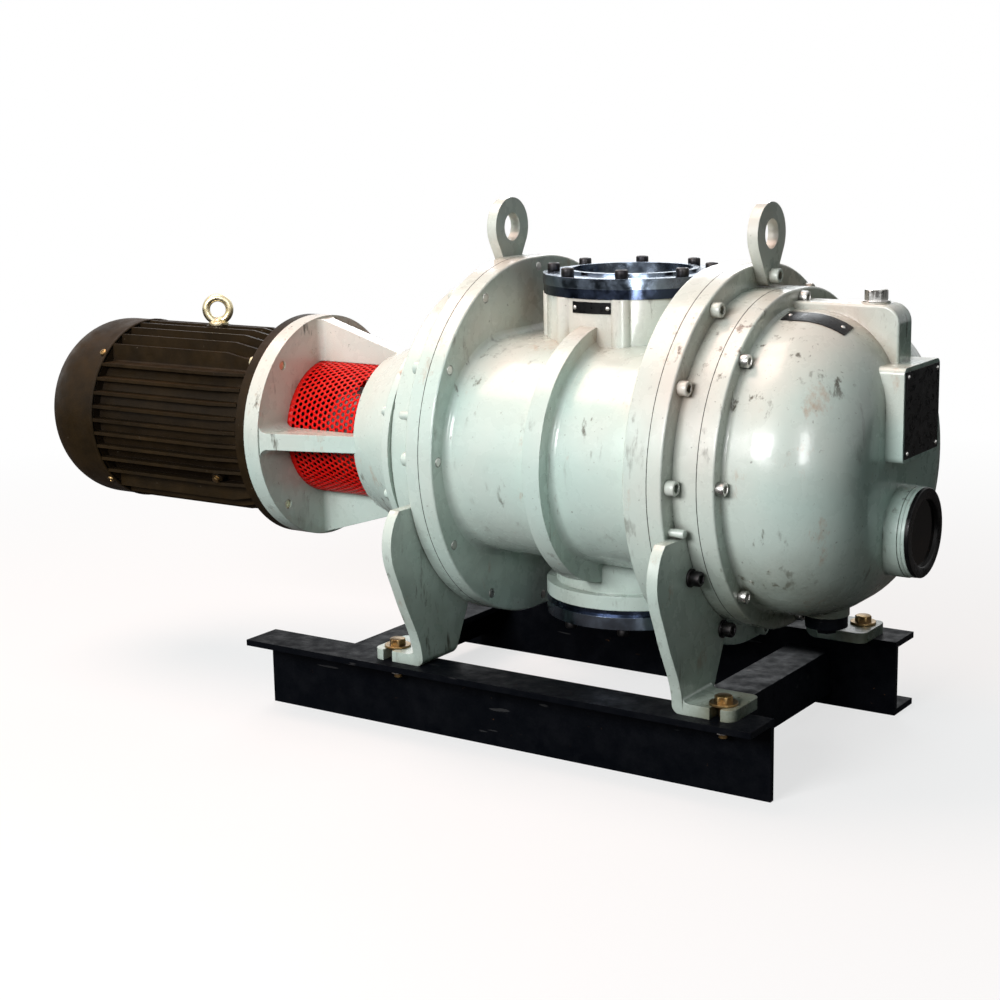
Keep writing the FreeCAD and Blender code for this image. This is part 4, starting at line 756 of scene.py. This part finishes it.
# %% Foot bolts, washers and nuts
FOOT_X, FOOT_Y = (-96.0, 375.0), (-200.0, 200.0)
FOOT_TOP, RAIL_UNDER, NUT_UNDER = -256.0, -281.0, -291.5
HOLE, SPANNER, SHEET = 6.2, 19.0, 3.0
UP = (0, 0, 1)


def washer_rings(r):
    return [(0, HOLE), (0, r - 0.4), (0.4, r), (SHEET - 0.4, r), (SHEET, r - 0.4), (SHEET, HOLE)]


NUT_RINGS = [(0, HOLE), (0, 9.0), (1.0, hexagon(SPANNER)), (9.5, hexagon(SPANNER)), (10.5, 9.0),
             (10.5, HOLE)]
heads = bmesh.new()
nuts = bmesh.new()
washers = bmesh.new()
for along in FOOT_X:
    for across in FOOT_Y:
        hexagon_head(heads, at(along, across, FOOT_TOP + SHEET), UP, SPANNER, 8.0, 6.0, 44.5)
        for level, r in ((FOOT_TOP, 17.0), (RAIL_UNDER, 11.0)):
            lathe(washers, washer_rings(r), at(along, across, level), UP, caps=(False, False))
        lathe(nuts, NUT_RINGS, at(along, across, NUT_UNDER), UP, caps=(False, False))
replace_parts(piece("foot_bolt_heads", heads, "zinc_steel", "aged_zinc"), "foot_anchor_bolts")
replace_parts(piece("foot_bolt_washers", washers, "zinc_steel", "aged_zinc"), "foot_anchor_washers")
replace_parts(piece("foot_bolt_nuts", nuts, "zinc_steel", "bare_steel"), "foot_anchor_nuts")

# %% [markdown]
# ## The front of the sight glass
# The oil level is read through a round glass. A painted collar holds it, with a fine groove round it, and a
# black ring in front presses the seal. Both are turned rings, drawn with more steps because they are large.

# %% Collar and front ring
GLASS = at(522.0, 0, -75.0)
ROUND = 96
collar = bmesh.new()
lathe(collar, [(0.0, 46.2), (0.0, 53.4), (0.7, 54.0), (4.2, 54.0), (4.5, 53.3), (4.8, 54.0), (8.3, 54.0),
               (9.0, 53.4), (9.0, 46.2), (0.0, 46.2)], GLASS, (1, 0, 0), ROUND, (False, False))
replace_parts(piece("sight_glass_collar", collar, "enamel"), "sight_glass_frame")
front = bmesh.new()
lathe(front, [(9.6, 39.3), (9.6, 46.0), (9.1, 46.0), (9.1, 53.3), (9.6, 53.8), (13.2, 53.8), (14.0, 53.0),
              (14.0, 42.0), (13.2, 40.6), (9.6, 39.3)], GLASS, (1, 0, 0), ROUND, (False, False))
piece("sight_glass_front_ring", front, "black_paint", "plate_black")

# %% [markdown]
# ## The filler plug
# Oil goes in through a plug on top of the oil box. It is the same forged hexagon in a larger size, and its
# round collar presses on the sealing washer.

# %% The plug of the oil box
FILLER_TOP = at(468.0, 0, 195.0)
plug = bmesh.new()
hexagon_head(plug, FILLER_TOP, UP, 24.0, 13.0, 11.0, 20.0, (16.0, 1.5))
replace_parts(piece("filler_hexagon_plug", plug, "zinc_steel", "bare_steel"), "filler_plug")

# %% [markdown]
# ## The coupling guard
# The guard is a sheet of perforated steel rolled into a tube. A staggered pattern means that every hole
# sits in a hexagon of sheet, so the sheet is drawn flat from such cells, each a hexagon with a round hole,
# and then rolled: the length round the tube becomes an angle. A solid band is left along each end, and a
# few cells are left out near the pump, where a hand reaches in to turn the coupling.

# %% Roll the perforated sheet
GUARD_R = 89.7
GUARD_X0, GUARD_X1 = -301.0, -151.0
HOLES_ROUND = 66
HOLE_SHARE = 0.345
BAND = 14.0
BOTH_BANDS = 22.0
SIDES = 12
ACCESS_X, ACCESS_ANGLE = -178.0, math.radians(320)
ACCESS_LONG, ACCESS_WIDE = 13.0, 16.0
SHEET_THICKNESS = 0.0015
WELD_DISTANCE = 0.0004
cell = 2 * math.pi * GUARD_R / HOLES_ROUND
row_step = cell * math.sqrt(3) / 2
rows = int((GUARD_X1 - GUARD_X0 - BOTH_BANDS) / row_step)
first_row = GUARD_X0 + BAND + row_step / 2
last_row = first_row + (rows - 1) * row_step
corner_reach = cell / math.sqrt(3)
sheet = bmesh.new()


def rolled(along, round_sheet):
    a = round_sheet / GUARD_R
    return at(along, DRIVE_Y + GUARD_R * math.sin(a), GUARD_R * math.cos(a))


def in_access(along, round_sheet):
    off = (round_sheet / GUARD_R - ACCESS_ANGLE + math.pi) % (2 * math.pi) - math.pi
    return ((along - ACCESS_X) / ACCESS_LONG) ** 2 + (off * GUARD_R / ACCESS_WIDE) ** 2 < 1.0


def punched_cell(cx, cy):
    rim, hole = [], []
    for k in range(SIDES):
        a = math.pi / 6 * k
        dx, dy = math.cos(a), math.sin(a)
        reach = corner_reach if k % 2 == 0 else cell / 2
        rim.append(sheet.verts.new(rolled(cx + reach * dx, cy + reach * dy)))
        hole.append(sheet.verts.new(rolled(cx + cell * HOLE_SHARE * dx, cy + cell * HOLE_SHARE * dy)))
    for k in range(SIDES):
        n = (k + 1) % SIDES
        sheet.faces.new((rim[k], rim[n], hole[n], hole[k]))


for row in range(rows):
    for col in range(HOLES_ROUND):
        cx = first_row + row * row_step
        cy = (col + 0.5 * (row % 2)) * cell
        if not in_access(cx, cy):
            punched_cell(cx, cy)
for x0, x1 in ((GUARD_X0, first_row - corner_reach / 2), (last_row + corner_reach / 2, GUARD_X1)):
    for k in range(HOLES_ROUND * 2):
        a, b = k * cell / 2, (k + 1) * cell / 2
        corners = [(x0, a), (x1, a), (x1, b), (x0, b)]
        sheet.faces.new([sheet.verts.new(rolled(x, s)) for x, s in corners])
bmesh.ops.remove_doubles(sheet, verts=sheet.verts, dist=WELD_DISTANCE)
guard = piece("perforated_guard", sheet, "red_paint", sharp=60)
thick = guard.modifiers.new("sheet_thickness", "SOLIDIFY")
thick.thickness = SHEET_THICKNESS
thick.offset = 0.0
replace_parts(guard, "coupling_guard")
print("holes:", rows * HOLES_ROUND)

# %% [markdown]
# ## Blank plates
# Three black plates are riveted to the pump: a square one on the flat pad of the cover, a curved strip on
# the dome and one on the suction neck. They are left bare. Each is a thin slab whose grid follows the
# surface below, so every surface gets a function that takes two numbers on it and a lift above it.

# %% Plates that follow a surface
COVER_PAD = 527.0
DOME_R, DOME_OFFSET, DOME_SPRING, DOME_ROUND = 184.0, 18.0, 405.0, 100.0
NECK_R = 108.0
GLUE = 0.15


def pad_surface(u, v, lift):
    return at(COVER_PAD + lift, u, v)


def dome_surface(u, v, lift):
    past = max(u - DOME_SPRING, 0.0)
    lean = past / DOME_ROUND
    r = DOME_R - DOME_ROUND + math.sqrt(DOME_ROUND ** 2 - past ** 2)
    out_r = r + lift * math.sqrt(1 - lean ** 2)
    a = math.radians(v)
    return at(u + lift * lean, -DOME_OFFSET + out_r * math.cos(a), out_r * math.sin(a))


def neck_surface(u, v, lift):
    a = math.radians(u)
    return at(PORT_X + (NECK_R + lift) * math.cos(a), (NECK_R + lift) * math.sin(a), v)


def bent_plate(name, surface, u_range, v_range, thickness, steps=(16, 6)):
    (u0, u1), (v0, v1) = u_range, v_range
    long, wide = steps
    slab = bmesh.new()
    bottom, top = [[[slab.verts.new(surface(u0 + (u1 - u0) * i / long, v0 + (v1 - v0) * j / wide, lift))
                     for j in range(wide + 1)] for i in range(long + 1)] for lift in (GLUE, thickness)]
    for i in range(long):
        for j in range(wide):
            slab.faces.new((top[i][j], top[i + 1][j], top[i + 1][j + 1], top[i][j + 1]))
            slab.faces.new((bottom[i][j + 1], bottom[i + 1][j + 1], bottom[i + 1][j], bottom[i][j]))
    for i in range(long):
        for j in (0, wide):
            slab.faces.new((bottom[i][j], bottom[i + 1][j], top[i + 1][j], top[i][j]))
    for j in range(wide):
        for i in (0, long):
            slab.faces.new((bottom[i][j], bottom[i][j + 1], top[i][j + 1], top[i][j]))
    return piece(name, slab, "black_paint", "plate_black")


bent_plate("gear_cover_blank_plate", pad_surface, (-50, 50), (20, 121), 1.0)
bent_plate("dome_blank_strip", dome_surface, (380, 458), (98, 107), 1.2)
bent_plate("neck_blank_plate", neck_surface, (258, 286), (176, 190), 1.0)

# %% [markdown]
# ## Rivets
# Each rivet is a low turned dome in a corner of its plate. The direction it stands in comes from the
# plate's own surface: a second point a little higher shows which way is out.

# %% Rivet the plates
def rivet(mesh, surface, u, v, foot, r=2.6):
    spot = surface(u, v, foot)
    lathe(mesh, [(0.0, r), (0.5, r * 0.98), (1.0, r * 0.8), (1.4, r * 0.45), (1.5, r * 0.1)], spot,
          surface(u, v, 3.0) - spot, 20)


studs = bmesh.new()
for u in (-44, 44):
    for v in (26, 115):
        rivet(studs, pad_surface, u, v, 1.0)
for u in (386, 451):
    rivet(studs, dome_surface, u, 102.5, 1.2)
for u in (260, 284):
    rivet(studs, neck_surface, u, 183, 1.0)
piece("plate_rivets", studs, "zinc_steel", "bare_steel")

# %% [markdown]
# ## Taper pins and thread ends
# Two taper pins set each end plate in place before the screws are drawn up; they stand out by a finger's
# width. On the casing's side of each flange the ends of the screws show as dull discs in their holes.

# %% Pins and screw ends
FLANGE_BACKS = ((0.0, 1), (268.0, -1))
PIN_ANGLES = ((GEAR_FACE, 1, (194.0, 346.0)), (DRIVE_FACE, -1, (166.0, 14.0)))

pins = bmesh.new()
for face, side, angles in PIN_ANGLES:
    for angle in angles:
        across, rise = around(angle, DISC_R, DISC_OFFSET)
        lathe(pins, [(-4.0, 5.0), (18.0, 5.4), (19.4, 4.8), (20.0, 3.0)], at(face, across, rise),
              (side, 0, 0), 24)
piece("taper_pins", pins, "enamel_screws")
ends = bmesh.new()
for i in range(12):
    across, rise = around(30.0 * i, DISC_R, DISC_OFFSET)
    for face, side in FLANGE_BACKS:
        lathe(ends, [(-2.0, 6.1), (-0.6, 6.1), (-0.2, 5.4), (0.2, 5.0), (0.35, 2.0)],
              at(face, across, rise), (side, 0, 0), 20)
piece("screw_thread_ends", ends, "enamel_screws", "bare_steel")

# %% [markdown]
# ## The motor's eyebolt
# A lifting eyebolt is forged: a round ring that swells into a collar. Here the ring is a circle swept by a
# smaller circle, and the collar with its thread is turned. The ring faces a little to one side, as a bolt
# does that was screwed home by hand.

# %% Forge the eyebolt
EYE_X, MOTOR_TOP = -488.0, 127.5
RING_R, WIRE_R = 16.5, 5.5
EYE_FOOT = at(EYE_X, DRIVE_Y, MOTOR_TOP)
facing = Vector((0.83, 0.56, 0)).normalized()
sideways = facing.cross(Vector((0, 0, 1)))
centre = at(EYE_X, DRIVE_Y, MOTOR_TOP + RING_R + WIRE_R)
bolt = bmesh.new()
loops = []
for a in turns(48):
    outwards = facing * math.sin(a) + Vector((0, 0, -math.cos(a)))
    loops.append([bolt.verts.new(centre + (outwards * (RING_R + WIRE_R * math.cos(b)) + sideways * (
        WIRE_R * math.sin(b))) * MM) for b in turns(16)])
join_loops(bolt, loops, closed=True)
lathe(bolt, [(-12.0, 5.5), (-11.0, 6.0), (0.0, 6.0), (0.0, 13.4), (0.8, 14.0), (3.6, 14.0), (5.0, 12.5),
             (6.5, 8.5), (9.0, 6.5)], EYE_FOOT, UP, 40)
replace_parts(piece("forged_eyebolt", bolt, "zinc_steel"), "motor_eyebolt")

# %% [markdown]
# ## Casting fillets
# In a real casting no wall meets a flange at a sharp corner: a concave fillet runs round it. Each fillet
# here is a strip swept along the stadium outline of the casing, hollow like the radius of a moulder's
# spoon. The two strips beside the belly band leave out the straight runs: they end in the walls of the two
# necks, and the ports stay open.

# %% Sweep a fillet along a stadium outline
def stadium_path(r, offset, count=40):
    path = []
    for start, side in ((math.pi / 2, 1), (-math.pi / 2, -1)):
        for i in range(count + 1):
            a = start - math.pi * i / count
            path.append((side * offset + r * math.cos(a), r * math.sin(a), math.cos(a), math.sin(a)))
    return path


def fillet(mesh, x, side, r, offset, size, steps=6, straight=True):
    loops = []
    for across, rise, ny, nz in stadium_path(r, offset):
        loop = []
        for k in range(steps + 1):
            a = math.pi / 2 * k / steps
            reach = size * (1 - math.sin(a)) + 0.02
            along = size * (1 - math.cos(a)) - 0.5 * (k == 0)
            loop.append(mesh.verts.new(at(x + side * along, across + ny * reach, rise + nz * reach)))
        loops.append(loop)
    half = len(loops) // 2
    join_loops(mesh, loops, gaps=() if straight else (half - 1, 2 * half - 1))


BODY_R, SHAFT_OFFSET = 138.25, 80.0
BELLY_BAND = ((128.0, -1), (152.0, 1))
skin = bmesh.new()
for x, side in FLANGE_BACKS:
    fillet(skin, x, side, BODY_R, SHAFT_OFFSET, 9.0)
for x, side in BELLY_BAND:
    fillet(skin, x, side, BODY_R, SHAFT_OFFSET, 8.0, straight=False)
piece("casing_fillets", skin, "enamel", sharp=80)
dome_root = bmesh.new()
fillet(dome_root, COVER_FACE, 1, DOME_R, DOME_OFFSET, 3.5)
piece("dome_root_fillet", dome_root, "enamel", sharp=80)

# %% [markdown]
# ## Joint lines
# Where two castings are bolted together a bead of dark sealant shows as a thin line all round. Each line is
# a flat band a millimetre wide that follows the outline of the joint and stands a hair proud of the paint.

# %% Draw the sealant lines
JOINTS = ((-20.0, 233.0, 15.0), (300.0, 233.0, 15.0), (350.0, 206.0, 16.0))


def joint_line(mesh, x, r, offset, width=0.9, proud=0.12, sunk=-0.3):
    section = ((-width / 2, sunk), (-width / 2, proud), (width / 2, proud), (width / 2, sunk))
    join_loops(mesh, [[mesh.verts.new(at(x + along, across + ny * lift, rise + nz * lift))
                       for along, lift in section] for across, rise, ny, nz in stadium_path(r, offset, 48)])


beads = bmesh.new()
for x, r, offset in JOINTS:
    joint_line(beads, x, r, offset)
piece("sealant_lines", beads, "seal_rubber")

# %% [markdown]
# ## Trim of the motor
# The sheet cowl is held by four small screws and has a rolled edge where it slips over the frame. A round
# pad between two fins carries the earth screw. They are small, but without them the motor looks like a toy.

# %% Cowl screws, rolled edge and earth terminal
COWL_SCREW_X, COWL_R = -626.0, 127.9
EDGE_X, EDGE_R = -620.6, 127.4
EDGE_SECTION = ((-3.4, 0.3), (-2.6, 1.5), (-0.8, 2.0), (1.0, 1.5), (1.6, 0.2))
EARTH_X, EARTH_ANGLE = -412.0, math.radians(214.0)


def motor_spot(along, angle, r):
    outwards = Vector((0, math.cos(angle), math.sin(angle)))
    return at(along, DRIVE_Y, 0) + outwards * r * MM, outwards


hardware = bmesh.new()
for a in turns(4, 45.0):
    lathe(hardware, [(-1.0, 4.5), (0.5, 4.6), (1.0, 5.4), (1.4, 5.4), (3.2, 4.6), (4.0, 2.4),
                     (3.0, hexagon(4.0)), (2.0, 1.0)], *motor_spot(COWL_SCREW_X, a, COWL_R), 24)
trim = bmesh.new()
join_loops(trim, [[trim.verts.new(motor_spot(EDGE_X + dx, a, EDGE_R + dr)[0]) for dx, dr in EDGE_SECTION]
                  for a in turns(72)])
lathe(trim, [(-10.0, 9.0), (8.0, 9.0), (9.0, 8.0)], *motor_spot(EARTH_X, EARTH_ANGLE, 114), 32)
lathe(hardware, [(0, 6.5), (1.0, 6.5), (1.0, hexagon(10.0)), (4.0, hexagon(10.0)), (4.8, 4.2)],
      *motor_spot(EARTH_X, EARTH_ANGLE, 123), 24)
piece("cowl_edge_and_earth_pad", trim, "motor_paint")
piece("motor_small_screws", hardware, "zinc_steel", "aged_zinc")
